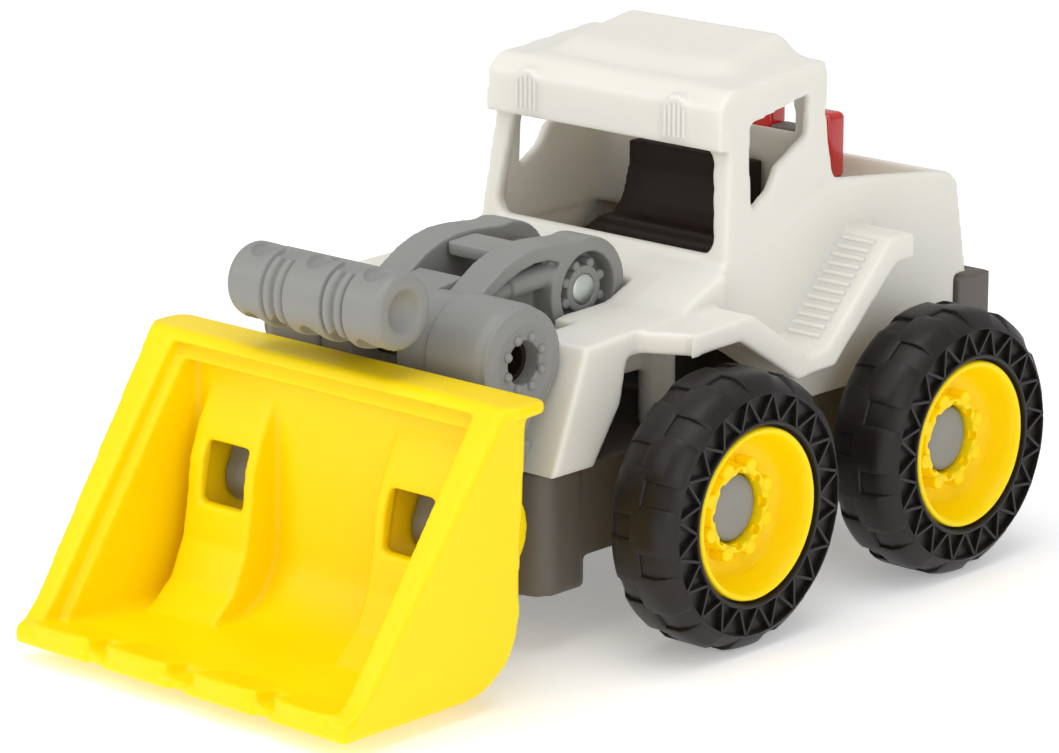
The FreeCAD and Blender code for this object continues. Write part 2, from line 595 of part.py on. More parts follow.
def beacons():
    """Two red lamps and the grey mount that holds them on the deck."""
    depth = ("beacon_y - beacon_depth / 2", "beacon_y + beacon_depth / 2")
    outer = "beacon_in_half + beacon_width"
    base = block("beacon_base", (f"-({outer}) - 1", f"{outer} + 1"),
                 ("beacon_y - beacon_depth / 2 - 1", "beacon_y + beacon_depth / 2 + 1"),
                 ("deck_z", "beacon_low_z"))
    bar = block("beacon_bar", ("gap / 2 - beacon_in_half", "beacon_in_half - gap / 2"), depth,
                ("deck_z", "beacon_bar_z"))
    piece("beacon_mount", fuse("beacon_mount_solid", base, bar))
    lamp = rounded("lamp", block("lamp_square", ("beacon_in_half", outer), depth,
                                 ("beacon_low_z", "beacon_top_z")), "beacon_round",
                   lambda edge: runs_along(edge, Vector(0, 1, 0))
                   and edge.CenterOfMass.z > value("beacon_top_z") - 0.01
                   or runs_along(edge, Vector(1, 0, 0))
                   and edge.CenterOfMass.z > value("beacon_top_z") - 0.01)
    twin("beacon_right", piece("beacon_left", lamp))


# ---- loader arms -------------------------------------------------------------------------------

def bumps(name, radius, circle, x, y, z):
    """Small cylinders in a ring round a bore."""
    parts = []
    for count in range(BOSS_BUMPS):
        angle = 2 * math.pi * (count + 0.5) / BOSS_BUMPS
        parts.append(rod(f"{name}_{count}", radius, x,
                         f"{y} + ({circle}) * {math.cos(angle):.6f}",
                         f"{z} + ({circle}) * {math.sin(angle):.6f}"))
    return parts


def arm():
    """The left arm: a bowed link between the lift ring and the elbow."""
    across = ("arm_in_half", "arm_out_half")
    link = profile("arm_link", [
        ("lift_y - 5", "lift_z - 9"), ("lift_y + 1", "lift_z + ring_radius - 0.3"),
        ("lift_y - 7", "arm_top_z"), ("lift_y - 15", "arm_top_z"),
        ("elbow_y + 11", "arm_top_z - 1.5"), ("elbow_y + 2", "arm_top_z - 3.8"),
        ("elbow_y - 5", "arm_top_z - 6.5"), ("elbow_y - 8.5", "arm_top_z - 9.5"),
        ("elbow_y - 8", "elbow_z - 5"), ("elbow_y + 6", "elbow_z - 6"),
        ("elbow_y + 16", "elbow_z + 2.5"), ("lift_y - 10", "lift_z - 4")], across)
    ring = rod("lift_ring", "ring_radius", across, "lift_y", "lift_z")
    eye = rod("elbow_eye", "elbow_radius", across, "elbow_y", "elbow_z")
    recess = rod("lift_recess", "ring_recess_radius",
                 ("arm_out_half - ring_recess_depth", "arm_out_half + 1"), "lift_y", "lift_z")
    side_recess = profile("arm_recess", [
        ("lift_y - 12", "lift_z + 1"), ("lift_y - 12", "arm_top_z - 2.4"),
        ("elbow_y + 11", "arm_top_z - 4"), ("elbow_y + 11.5", "elbow_z + 4.5")],
        ("arm_out_half - 2.4", "arm_out_half + 1"))
    strut = rod("arm_strut", "strut_radius", ("arm_out_half - 3.4", "arm_out_half - 0.6"),
                "lift_y - 16", "lift_z + 4.4")
    boss = rod("lift_boss", "pin_boss_radius", ("arm_out_half - ring_recess_depth - 1",
                                                "arm_out_half - 0.8"), "lift_y", "lift_z")
    ring_bumps = bumps("lift_bump", "1", "pin_boss_radius + 0.4",
                       ("arm_out_half - ring_recess_depth - 1", "arm_out_half - 1"),
                       "lift_y", "lift_z")
    solid = fuse("arm_solid", cut("arm_blank", fuse("arm_body", link, ring, eye), recess,
                                  side_recess), boss, strut, *ring_bumps)
    bore = rod("arm_bore", "pin_radius", ("0", "arm_out_half + 1"), "lift_y", "lift_z")
    hollow = rod("eye_bore", "elbow_bore_radius", ("0", "arm_out_half + 1"), "elbow_y", "elbow_z")
    return cut("arm_left_cut", solid, bore, hollow)


def elbow():
    """The left elbow barrel and the leg that goes down from it to the bucket's hinge."""
    barrel = rod("elbow_barrel", "elbow_radius", ("arm_out_half", "elbow_out_half"),
                 "elbow_y", "elbow_z")
    leg = profile("leg", [
        ("elbow_y - 9.6", "elbow_z - 3"), ("elbow_y + 4", "elbow_z - 9"),
        ("tilt_y + 9.5", "tilt_z + 9"), ("tilt_y + eye_radius - 0.8", "tilt_z - 3"),
        ("tilt_y - eye_radius + 1", "tilt_z + 3")], ("leg_in_half", "leg_out_half"))
    slim = block("leg_side", ("elbow_out_half", "leg_out_half + 1"),
                 ("nose_low_y - 40", "nose_top_y"), ("elbow_z - elbow_radius - 4", "elbow_z + 20"))
    eye = rod("leg_eye", "eye_radius", ("leg_in_half", "leg_out_half"), "tilt_y", "tilt_z")
    recess = rod("elbow_recess", "elbow_recess_radius",
                 ("elbow_out_half - elbow_recess_depth", "elbow_out_half + 1"),
                 "elbow_y", "elbow_z")
    ring_bumps = bumps("elbow_bump", "1", "elbow_bore_radius + 1",
                       ("elbow_out_half - elbow_recess_depth - 1", "elbow_out_half - 0.6"),
                       "elbow_y", "elbow_z")
    bore = rod("elbow_bore", "elbow_bore_radius", ("0", "elbow_out_half + 1"),
               "elbow_y", "elbow_z")
    pin_bore = rod("leg_bore", "hinge_radius + run_fit", ("0", "leg_out_half + 1"),
                   "tilt_y", "tilt_z")
    solid = fuse("elbow_solid", cut("elbow_blank", fuse("elbow_body", barrel,
                                                        cut("leg_slim", leg, slim), eye),
                                    recess), *ring_bumps)
    return cut("elbow_left_cut", solid, bore, pin_bore)


def grip():
    """The roll that a hand holds, and the neck that joins it between the arms."""
    roll = rod("grip_roll", "grip_radius", ("-grip_half", "grip_half"), "grip_y", "grip_z")
    dimples = both("grip_dimples", rod("grip_dimple", "grip_dimple_radius",
                                       ("grip_half - grip_dimple_depth", "grip_half + 1"),
                                       "grip_y", "grip_z"))
    neck = profile("grip_neck", [
        ("grip_y", "grip_z - 5"), ("elbow_y - 6", "elbow_z - 1"), ("elbow_y + 6", "elbow_z"),
        ("elbow_y + 9", "elbow_z + 11"), ("elbow_y - 6", "elbow_z + 9"),
        ("grip_y", "grip_z + 5")], ("-neck_half", "neck_half"))
    passage = rod("neck_bore", "elbow_bore_radius", ("-neck_half - 1", "neck_half + 1"),
                  "elbow_y", "elbow_z")
    piece("grip_handle", cut("grip_cut", fuse("grip_solid", roll, neck), dimples, passage))


def loader():
    """Both arms and elbows, the bridge between the arms, the lift pin and the elbow rod."""
    twin("arm_right", piece("arm_left", arm()))
    twin("elbow_right", piece("elbow_left", elbow()))
    piece("arm_bridge", profile("bridge", [
        ("lift_y - 11", "lift_z + 7.2"), ("lift_y - 11", "arm_top_z - 0.4"),
        ("lift_y - 19", "arm_top_z - 0.8"), ("lift_y - 19", "lift_z + 7.2")],
        ("-arm_in_half", "arm_in_half")))
    piece("lift_pin", rod("lift_pin_rod", "pin_radius", ("0.9 - arm_out_half", "arm_out_half - 0.9"),
                          "lift_y", "lift_z"))
    piece("elbow_tube", cut("elbow_tube_cut",
                            rod("elbow_tube_rod", "elbow_bore_radius",
                                ("3 - elbow_out_half", "elbow_out_half - 3"),
                                "elbow_y", "elbow_z"),
                            rod("elbow_tube_bore", "elbow_bore_radius - 1",
                                ("-elbow_out_half", "elbow_out_half"), "elbow_y", "elbow_z")))
    grip()


# ---- bucket ------------------------------------------------------------------------------------

def flared(name, points, inset, y):
    """A side outline drawn right across, then narrowed to the bucket's flared sides."""
    across = profile(name + "_across", points, ("-lip_half", "lip_half"))
    flare = front_profile(name + "_flare", [
        (f"{inset} - bucket_low_half", "bucket_low_z - 5"),
        (f"bucket_low_half - {inset}", "bucket_low_z - 5"),
        (f"bucket_top_half - {inset}", "lip_top_z + 5"),
        (f"{inset} - bucket_top_half", "lip_top_z + 5")], y)
    return common(name, across, flare)


def pocket(name, skin, depth, x):
    """A rib on the bucket's inside, or the space in it, which takes the end of a leg."""
    return profile(name, [
        (f"bucket_back_y + {depth}", f"tilt_z - 8 + {skin}"),
        (f"pocket_front_y + {skin} + 2", f"tilt_z - 8 + {skin}"),
        (f"pocket_front_y + {skin}", f"pocket_knee_z + {skin} / 2"),
        (f"pocket_top_y + {skin}", f"pocket_top_z - {skin} / 2"),
        ("bucket_back_y - 0.6", f"pocket_top_z + 7 - {skin}"),
        (f"bucket_back_y + {depth}", f"pocket_top_z + 7 - {skin}")], x)


def bucket():
    """The scoop: flared sides, toothed edge, top lip, two leg pockets and their hinge lugs."""
    reach = ("-front_reach - 20", "lip_back_y + 20")
    skin = "bucket_skin"
    outside = flared("scoop_outside", [
        ("-front_reach", "bucket_low_z"), ("bucket_heel_y", "bucket_low_z"),
        ("bucket_heel_mid_y", "bucket_heel_z"), ("bucket_hip_y", "bucket_hip_z"),
        ("bucket_back_y", "tilt_z - 4"), ("bucket_back_y", "lip_top_z"),
        ("lip_front_y", "lip_top_z")], "0", reach)
    inside = flared("scoop_inside", [
        ("-front_reach - 10", f"bucket_low_z + {skin}"),
        ("bucket_heel_y - 5", f"bucket_low_z + {skin}"),
        (f"bucket_heel_mid_y - {skin} - 1", f"bucket_heel_z + {skin}"),
        (f"bucket_hip_y - {skin}", f"bucket_hip_z + {skin} / 2"),
        (f"bucket_back_y - {skin}", "tilt_z - 4"), (f"bucket_back_y - {skin}", "lip_low_z"),
        ("-front_reach - 10", "lip_low_z")], skin, reach)
    lip = rounded("lip", block("lip_square", ("-lip_half", "lip_half"),
                               ("lip_front_y", "lip_back_y"), ("lip_low_z", "lip_top_z")),
                  "lip_round", lambda edge: runs_along(edge, Vector(0, 0, 1)))
    notches = [block(f"notch_{count}", (f"{count} * tooth_pitch - tooth_notch / 2",
                                        f"{count} * tooth_pitch + tooth_notch / 2"),
                     ("-front_reach - 1", "tooth_depth - front_reach"),
                     ("bucket_low_z - 1", "bucket_low_z + 3")) for count in (-1, 0, 1)]
    rib = pocket("pocket_rib", "0", "-1", ("pocket_in_half", "pocket_out_half"))
    space = pocket("pocket_space", "pocket_skin", "5",
                   ("pocket_in_half + pocket_skin", "pocket_out_half - pocket_skin"))
    window = block("pocket_window", ("window_in_half", "window_out_half"),
                   ("pocket_front_y - 5", "bucket_back_y - 3"), ("window_low_z", "window_top_z"))
    lug_cheeks = [rod(f"lug_{name}", "lug_radius", x, "tilt_y", "tilt_z") for name, x in (
        ("inner", ("pocket_in_half", "pocket_in_half + pocket_skin")),
        ("outer", ("pocket_out_half - pocket_skin", "pocket_out_half")))]
    pin_hole = rod("lug_bore", "hinge_radius", ("pocket_in_half - 1", "pocket_out_half + 1"),
                   "tilt_y", "tilt_z")
    scoop = cut("scoop", outside, inside)
    solid = fuse("bucket_solid", scoop, lip, both("ribs", rib),
                 both("lugs", fuse("lug_pair", *lug_cheeks)))
    openings = both("pocket_openings", fuse("pocket_opening", space, window, pin_hole))
    piece("bucket", cut("bucket_cut", solid, openings, *notches))
    pin = rod("hinge_pin", "hinge_radius", ("pocket_in_half + 0.3", "pocket_out_half - 0.3"),
              "tilt_y", "tilt_z")
    twin("bucket_pin_right", piece("bucket_pin_left", pin))


# ---- the whole toy -----------------------------------------------------------------------------

def check():
    """Stop if anything failed to compute or a piece is not a valid solid."""
    for item in doc.Objects:
        faults = {"Invalid", "Error"} & set(item.State)
        if faults:
            raise RuntimeError(f"{item.Name} ({item.Label}) is {faults}")
    for item in PIECES:
        if item.Shape.isNull() or not item.Shape.isValid() or not item.Shape.Solids:
            raise RuntimeError(f"{item.Label} is not a valid solid")


def main():
    wheels()
    chassis()
    screws()
    body_shell()
    interior()
    beacons()
    loader()
    bucket()
    doc.recompute()
    check()
    os.makedirs("parts", exist_ok=True)
    for item in PIECES:
        item.Shape.exportStep(f"parts/{item.Label}.step")
        box = item.Shape.BoundBox
        print(f"{item.Label}: {len(item.Shape.Solids)} solid(s), {item.Shape.Volume:.0f} mm3, "
              f"x {box.XMin:.1f} {box.XMax:.1f}  y {box.YMin:.1f} {box.YMax:.1f}  "
              f"z {box.ZMin:.1f} {box.ZMax:.1f}")


main()
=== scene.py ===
"""Looks of a moulded toy front loader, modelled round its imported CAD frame. Units: the numbers
below are millimetres and are turned to metres where a mesh is made."""
import json
import math
import bpy
from mathutils import Matrix, Vector


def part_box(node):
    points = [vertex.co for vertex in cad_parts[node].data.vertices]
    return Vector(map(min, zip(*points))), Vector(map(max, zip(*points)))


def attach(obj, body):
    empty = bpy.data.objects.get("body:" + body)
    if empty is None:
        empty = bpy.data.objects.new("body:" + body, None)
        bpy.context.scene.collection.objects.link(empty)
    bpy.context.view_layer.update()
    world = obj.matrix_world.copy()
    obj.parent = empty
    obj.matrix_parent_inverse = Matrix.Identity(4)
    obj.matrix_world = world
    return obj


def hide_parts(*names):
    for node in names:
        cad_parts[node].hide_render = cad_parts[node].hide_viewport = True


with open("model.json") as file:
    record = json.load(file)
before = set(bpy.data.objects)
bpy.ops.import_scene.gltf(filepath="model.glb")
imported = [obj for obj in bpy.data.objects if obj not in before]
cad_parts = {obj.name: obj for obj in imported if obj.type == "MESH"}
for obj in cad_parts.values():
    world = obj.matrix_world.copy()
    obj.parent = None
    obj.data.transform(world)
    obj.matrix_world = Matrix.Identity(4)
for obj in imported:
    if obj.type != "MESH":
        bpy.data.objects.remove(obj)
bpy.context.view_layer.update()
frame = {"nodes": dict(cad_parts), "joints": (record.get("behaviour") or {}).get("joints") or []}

MM = 0.001
MERGE = 1e-6                  # vertices nearer than this, in metres, are one
SIDES = {"left": 1, "right": -1}
AXLES = ("front", "rear")


def pivot(joint_name):
    """Where a joint turns, in mm."""
    joint = next(item for item in frame["joints"] if item["name"] == joint_name)
    return Vector(joint["pos_m"]) / MM


def extent(node):
    """A CAD node's lowest and highest corner, in mm."""
    low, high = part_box(node)
    return Vector(low) / MM, Vector(high) / MM


AXLE_Y = {axle: pivot(f"wheel_{axle}_left_roll").y for axle in AXLES}
FRONT = AXLE_Y["front"]            # lengths below are measured from the front axle
LIFT = pivot("arm_lift")
TILT = pivot("bucket_tilt")


# ---- modelling helpers -------------------------------------------------------------------------

def only(obj):
    """Select one object and nothing else."""
    bpy.ops.object.select_all(action="DESELECT")
    obj.select_set(True)
    bpy.context.view_layer.objects.active = obj
    return obj


def settle(obj, name=None):
    """Put an object's place, turn and scale into its mesh."""
    only(obj)
    bpy.ops.object.transform_apply(location=True, rotation=True, scale=True)
    if name:
        obj.name = name
        obj.data.name = name
    return obj


def outward(obj):
    """Merge doubled vertices and turn every face outwards."""
    only(obj)
    bpy.ops.object.mode_set(mode="EDIT")
    bpy.ops.mesh.select_all(action="SELECT")
    bpy.ops.mesh.remove_doubles(threshold=MERGE)
    bpy.ops.mesh.normals_make_consistent(inside=False)
    bpy.ops.object.mode_set(mode="OBJECT")
    return obj


def block(name, low, high):
    """A box between two corners."""
    low, high = Vector(low), Vector(high)
    bpy.ops.mesh.primitive_cube_add(size=1, location=(low + high) / 2 * MM)
    obj = bpy.context.active_object
    obj.scale = (high - low) * MM
    return settle(obj, name)


def rod(name, radius, x, y, z, steps=64):
    """A cylinder along X, between a pair of places."""
    middle = Vector(((x[0] + x[1]) / 2, y, z)) * MM
    bpy.ops.mesh.primitive_cylinder_add(vertices=steps, radius=radius * MM,
                                        depth=abs(x[1] - x[0]) * MM, location=middle,
                                        rotation=(0, math.pi / 2, 0))
    return settle(bpy.context.active_object, name)


def strut(name, radius, start, end, steps=32):
    """A cylinder between two points."""
    start, end = Vector(start), Vector(end)
    turn = (end - start).to_track_quat("Z", "Y").to_euler()
    bpy.ops.mesh.primitive_cylinder_add(vertices=steps, radius=radius * MM,
                                        depth=(end - start).length * MM,
                                        location=(start + end) / 2 * MM, rotation=turn)
    return settle(bpy.context.active_object, name)


def ball(name, radius, centre, scale=(1, 1, 1)):
    """A sphere, or an egg shape where scale says so."""
    bpy.ops.mesh.primitive_ico_sphere_add(subdivisions=4, radius=radius * MM,
                                          location=Vector(centre) * MM)
    obj = bpy.context.active_object
    obj.scale = scale
    return settle(obj, name)


def drawn(name, corners, along):
    """A flat outline extruded by the vector along. Corners and vector are in mm."""
    mesh = bpy.data.meshes.new(name)
    mesh.from_pydata([Vector(corner) * MM for corner in corners], [], [range(len(corners))])
    obj = bpy.data.objects.new(name, mesh)
    bpy.context.collection.objects.link(obj)
    only(obj)
    bpy.ops.object.mode_set(mode="EDIT")
    bpy.ops.mesh.select_all(action="SELECT")
    bpy.ops.mesh.extrude_region_move(TRANSFORM_OT_translate={"value": Vector(along) * MM})
    bpy.ops.object.mode_set(mode="OBJECT")
    return outward(obj)


def side_plate(name, outline, x):
    """An outline of (y, z) pairs, y from the front axle, extruded along X."""
    return drawn(name, [(x[0], y + FRONT, z) for y, z in outline], (x[1] - x[0], 0, 0))


def arc(centre, radius, start, end, steps):
    """Points on an arc, with its angles in degrees."""
    angles = [math.radians(start + (end - start) * step / steps) for step in range(steps + 1)]
    return [(centre[0] + radius * math.cos(a), centre[1] + radius * math.sin(a)) for a in angles]


def turned(name, profile, centre=(0, 0, 0), steps=96):
    """A profile of (x, radius) pairs spun round an axis along X through centre."""
    mesh = bpy.data.meshes.new(name)
    closed = profile[0] == profile[-1]
    points = profile[:-1] if closed else profile
    edges = [(i, i + 1) for i in range(len(points) - 1)]
    if closed:
        edges.append((len(points) - 1, 0))
    mesh.from_pydata([Vector((x, 0, radius)) * MM for x, radius in points], edges, [])
    obj = bpy.data.objects.new(name, mesh)
    bpy.context.collection.objects.link(obj)
    only(obj)
    bpy.ops.object.mode_set(mode="EDIT")
    bpy.ops.mesh.select_all(action="SELECT")
    bpy.ops.mesh.spin(steps=steps, angle=2 * math.pi, center=(0, 0, 0), axis=(1, 0, 0))
    bpy.ops.object.mode_set(mode="OBJECT")
    obj.location = Vector(centre) * MM
    return outward(settle(obj))


def swept(name, outline, angle, steps):
    """An outline of (x, radius) pairs swept about the X axis, half the angle to each side of
    straight up. With no window the turn operator goes the other way, so the sweep starts at the
    positive end."""
    start = Matrix.Rotation(angle / 2, 3, "X")
    mesh = bpy.data.meshes.new(name)
    mesh.from_pydata([start @ Vector((x, 0, radius)) * MM for x, radius in outline], [],
                     [range(len(outline))])
    obj = bpy.data.objects.new(name, mesh)
    bpy.context.collection.objects.link(obj)
    only(obj)
    bpy.ops.object.mode_set(mode="EDIT")
    bpy.ops.mesh.select_all(action="SELECT")
    for _ in range(steps):
        bpy.ops.mesh.extrude_region_move()
        bpy.ops.transform.rotate(value=angle / steps, orient_axis="X",
                                 center_override=(0, 0, 0))
    bpy.ops.object.mode_set(mode="OBJECT")
    return outward(obj)


def net(name, points, faces):
    """A mesh from points in mm and its faces, for skins that follow a formula."""
    mesh = bpy.data.meshes.new(name)
    mesh.from_pydata([Vector(point) * MM for point in points], [], faces)
    obj = bpy.data.objects.new(name, mesh)
    bpy.context.collection.objects.link(obj)
    return obj


def clamped(value):
    """A value held between 0 and 1."""
    return min(max(value, 0.0), 1.0)


def ease(value):
    """A share from 0 to 1 with soft ends."""
    value = clamped(value)
    return value * value * (3 - 2 * value)


def ring_of(obj, count, centre, first=0.0):
    """An object joined with its copies, spread evenly round an axis along X."""
    parts = []
    for index in range(count):
        copy = obj.copy()
        copy.data = obj.data.copy()
        bpy.context.collection.objects.link(copy)
        turn = Matrix.Rotation(2 * math.pi * (index + first) / count, 4, "X")
        place = Matrix.Translation(Vector(centre) * MM)
        copy.matrix_world = place @ turn @ place.inverted()
        parts.append(settle(copy))
    bpy.data.objects.remove(obj)
    return joined(parts[0], *parts[1:])


def joined(obj, *others):
    """Objects made one, without merging their surfaces."""
    only(obj)
    for other in others:
        other.select_set(True)
    if others:
        bpy.ops.object.join()
    return obj


def finished(obj, kind, name="shape", **settings):
    """Add a modifier, set it up and apply it."""
    modifier = obj.modifiers.new(name, kind)
    for key, setting in settings.items():
        setattr(modifier, key, setting)
    only(obj)
    bpy.ops.object.modifier_apply(modifier=name)
    return obj


def carved(obj, *tools):
    """Cut tools out of an object."""
    for tool in tools:
        finished(obj, "BOOLEAN", operation="DIFFERENCE", solver="EXACT", object=tool)
        bpy.data.objects.remove(tool)
    return obj


def grown(obj, *others):
    """Unite others with an object."""
    for other in others:
        finished(obj, "BOOLEAN", operation="UNION", solver="EXACT", object=other)
        bpy.data.objects.remove(other)
    return obj


def eased(obj, width, segments=3, angle=30):
    """Round an object's sharp edges and shade the rest smooth."""
    finished(obj, "BEVEL", width=width * MM, segments=segments, limit_method="ANGLE",
             angle_limit=math.radians(angle), use_clamp_overlap=True, harden_normals=False)
    return smooth(obj)


def smooth(obj, angle=40):
    """Shade smooth across edges flatter than the angle."""
    only(obj)
    bpy.ops.object.shade_smooth_by_angle(angle=math.radians(angle))
    return obj


def moulded(obj, cell, passes, keep=1.0):
    """Give a hard-edged solid the soft corners of a moulding: rebuild its skin in small cells,
    relax it, and thin the skin to the share of faces to keep."""
    finished(obj, "REMESH", mode="VOXEL", voxel_size=cell * MM)
    finished(obj, "SMOOTH", factor=0.5, iterations=passes)
    if keep < 1:
        finished(obj, "DECIMATE", ratio=keep)
    only(obj)
    bpy.ops.object.shade_smooth()
    return obj


def cad_copy(node, name):
    """A separate, merged copy of a CAD node to shape further."""
    source = frame["nodes"][node]
    obj = bpy.data.objects.new(name, source.data.copy())
    obj.matrix_world = source.matrix_world.copy()
    bpy.context.collection.objects.link(obj)
    settle(obj, name)
    obj.data.materials.clear()
    only(obj)
    bpy.ops.object.mode_set(mode="EDIT")
    bpy.ops.mesh.select_all(action="SELECT")
    bpy.ops.mesh.remove_doubles(threshold=MERGE)
    bpy.ops.object.mode_set(mode="OBJECT")
    return obj


def twin(obj, name):
    """The mirror image of a finished piece in the middle plane."""
    copy = obj.copy()
    copy.data = obj.data.copy()
    bpy.context.collection.objects.link(copy)
    copy.scale = (-1, 1, 1)
    settle(copy, name)
    only(copy)
    bpy.ops.object.mode_set(mode="EDIT")
    bpy.ops.mesh.select_all(action="SELECT")
    bpy.ops.mesh.normals_make_consistent(inside=False)
    bpy.ops.object.mode_set(mode="OBJECT")
    return copy


def dress(obj, material, body, slot, *nodes):
    """Give a piece its finish and its body, and hide the CAD nodes it stands for. The slot is not used.
    """
    obj.data.materials.clear()
    obj.data.materials.append(material)
    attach(obj, body)
    if nodes:
        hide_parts(*nodes)
    return obj


# ---- materials ---------------------------------------------------------------------------------

DRIFT, FLOW = 22.0, 6.0       # mm across which a surface's shade and gloss change
GRAIN_DEPTH = 0.05            # mm, the relief of its grain


def linear(hex_colour):
    """An sRGB hex colour as linear red, green, blue and alpha."""
    shares = [int(hex_colour[i:i + 2], 16) / 255 for i in (1, 3, 5)]
    return [c / 12.92 if c <= 0.04045 else ((c + 0.055) / 1.055) ** 2.4 for c in shares] + [1.0]


def node(tree, kind, settings=None, **links):
    """Add a node, with its settings and its inputs: a value, or another node's output. An input
    goes by its name, or by i and its number."""
    new = tree.nodes.new(kind)
    for key, setting in (settings or {}).items():
        setattr(new, key, setting)
    for key, source in links.items():
        numbered = key[0] == "i" and key[1:].isdigit()
        socket = new.inputs[int(key[1:]) if numbered else key.replace("_", " ")]
        if isinstance(source, bpy.types.NodeSocket):
            tree.links.new(source, socket)
        else:
            socket.default_value = source
    return new


def surface(name, light, dark, roughness, grain, bump, sockets=None):
    """A solid material: a slow drift between two shades, gloss that varies as the melt or the
    brush ran, and a fine grain."""
    material = bpy.data.materials.new(name)
    material.use_nodes = True
    tree = material.node_tree
    shader = tree.nodes["Principled BSDF"]
    place = node(tree, "ShaderNodeTexCoord").outputs["Object"]
    drift = node(tree, "ShaderNodeTexNoise", Vector=place, Scale=1 / (DRIFT * MM), Detail=2.0)
    shade = node(tree, "ShaderNodeMix", {"data_type": "RGBA"}, i0=drift.outputs["Fac"],
                 i6=linear(light), i7=linear(dark))
    tree.links.new(shade.outputs[2], shader.inputs["Base Color"])
    flow = node(tree, "ShaderNodeTexNoise", Vector=place, Scale=1 / (FLOW * MM), Detail=4.0)
    gloss = node(tree, "ShaderNodeMapRange", Value=flow.outputs["Fac"], To_Min=roughness - 0.05,
                 To_Max=roughness + 0.07)
    tree.links.new(gloss.outputs["Result"], shader.inputs["Roughness"])
    fine = node(tree, "ShaderNodeTexNoise", Vector=place, Scale=1 / (grain * MM), Detail=3.0)
    relief = node(tree, "ShaderNodeBump", Height=fine.outputs["Fac"], Strength=bump,
                  Distance=GRAIN_DEPTH * MM)
    tree.links.new(relief.outputs["Normal"], shader.inputs["Normal"])
    for socket, setting in (sockets or {}).items():
        shader.inputs[socket].default_value = setting
    return material


# White ABS, moulded against a lightly spark-eroded tool: warm off-white, satin, a little depth.
WHITE = surface("moulded_abs_white", "#E6E3DA", "#DEDBD2", 0.42, 0.35, 0.25,
                {"IOR": 1.53, "Subsurface Weight": 0.35, "Subsurface Radius": (0.005, 0.004, 0.0028),
                 "Subsurface Scale": 1.0})
# The same white in thin ribs, where there is no depth for the light to sink into.
THIN_WHITE = surface("moulded_abs_white_thin", "#E9E6DD", "#E1DED5", 0.42, 0.35, 0.2, {"IOR": 1.53})
# Yellow polypropylene: strong warm yellow, glossier, light soaks a little way in.
YELLOW = surface("moulded_polypropylene_yellow", "#FFE100", "#FFD900", 0.34, 0.5, 0.15,
                 {"IOR": 1.49, "Specular IOR Level": 0.25, "Subsurface Weight": 0.15,
                  "Subsurface Radius": (0.002, 0.0014, 0.0003), "Subsurface Scale": 1.0})
# Grey ABS: neutral mid grey, satin, so rounded edges show as soft bands of light.
GREY = surface("moulded_abs_grey", "#8D8D8A", "#848481", 0.46, 0.4, 0.3, {"IOR": 1.53})
# The grey plastic again, painted darker and warmer for the chassis and the beacons' mount: painted
# shade and painted warm bounced light, and duller.
GREY_PAINTED_SHADE = surface("moulded_abs_deep_grey", "#625B53", "#5A534B", 0.5, 0.4, 0.3, {"IOR": 1.53})
# The cab's insert and the elbow tube: grey plastic painted a dark warm brown-grey, the painted shade
# inside the cab.
GREY_PAINTED_DEEP_SHADE = surface("moulded_abs_dark_grey", "#2A1F19", "#221812", 0.55, 0.4, 0.3,
                     {"IOR": 1.53, "Specular IOR Level": 0.25})
# Soft black vinyl of the tyres: brown-black, with a broad dim shine and a faint sheen.
RUBBER = surface("moulded_vinyl_black", "#1C1615", "#171211", 0.4, 0.5, 0.5,
                 {"IOR": 1.52, "Specular IOR Level": 0.3, "Sheen Weight": 0.04, "Sheen Roughness": 0.5})
# Red polystyrene of the beacons: deep and glossy, and a little light passes through.
RED = surface("moulded_polystyrene_red", "#DC1C14", "#BC120E", 0.12, 0.6, 0.05,
              {"IOR": 1.59, "Transmission Weight": 0.15, "Coat Weight": 0.3})
# Drawn steel rod: a pale, brushed end that spreads its highlight.
STEEL = surface("drawn_steel", "#DCE4E1", "#CCD6D3", 0.42, 0.3, 0.2, {"Metallic": 1.0})


# ---- wheels ------------------------------------------------------------------------------------

TYRE_RADIUS, TYRE_WIDTH, RIM_RADIUS = 27.0, 16.7, 16.8
LUGS = 12                     # tread blocks round each shoulder
LUG_SHARE = 0.66              # how much of the way round the blocks take
LUG_PHASE = -0.11             # where the outer row starts, in steps of one block
LUG_LENGTH = 9.6              # how far a block reaches in from its shoulder
LUG_TOP, LUG_ROOT = 26.97, 25.4
TREAD_RADIUS = 26.45          # the carcass between the blocks
REAR_TURN = -0.077            # how far the rear wheels have rolled, in radians
ZIGZAGS = 20                  # ribs' V shapes round the side wall
WALL_RIB = (18.3, 23.2)       # radii between which the side wall is sunk
WALL_DEPTH = 1.3
RIB_HALF = 0.27               # half a side wall rib's thickness
RIB_ROOT = 0.4                # how far a rib runs on into the wall at each end
HUB_LOBES = 8


def side_rib(lean):
    """One rib across the sunk ring of the side wall, slanting one way or the other."""
    inner, outer = WALL_RIB
    turn = lean * math.pi / ZIGZAGS
    start = Vector((0, 0, inner - RIB_ROOT))
    end = Vector((0, math.sin(turn), math.cos(turn))) * (outer + RIB_ROOT)
    across = Vector((1, 0, 0)).cross((end - start).normalized()) * RIB_HALF
    floor = Vector((-WALL_DEPTH - 0.1, 0, 0))
    corners = [start + across, end + across, end - across, start - across]
    return drawn("rib", [corner + floor for corner in corners], (WALL_DEPTH + 0.02, 0, 0))


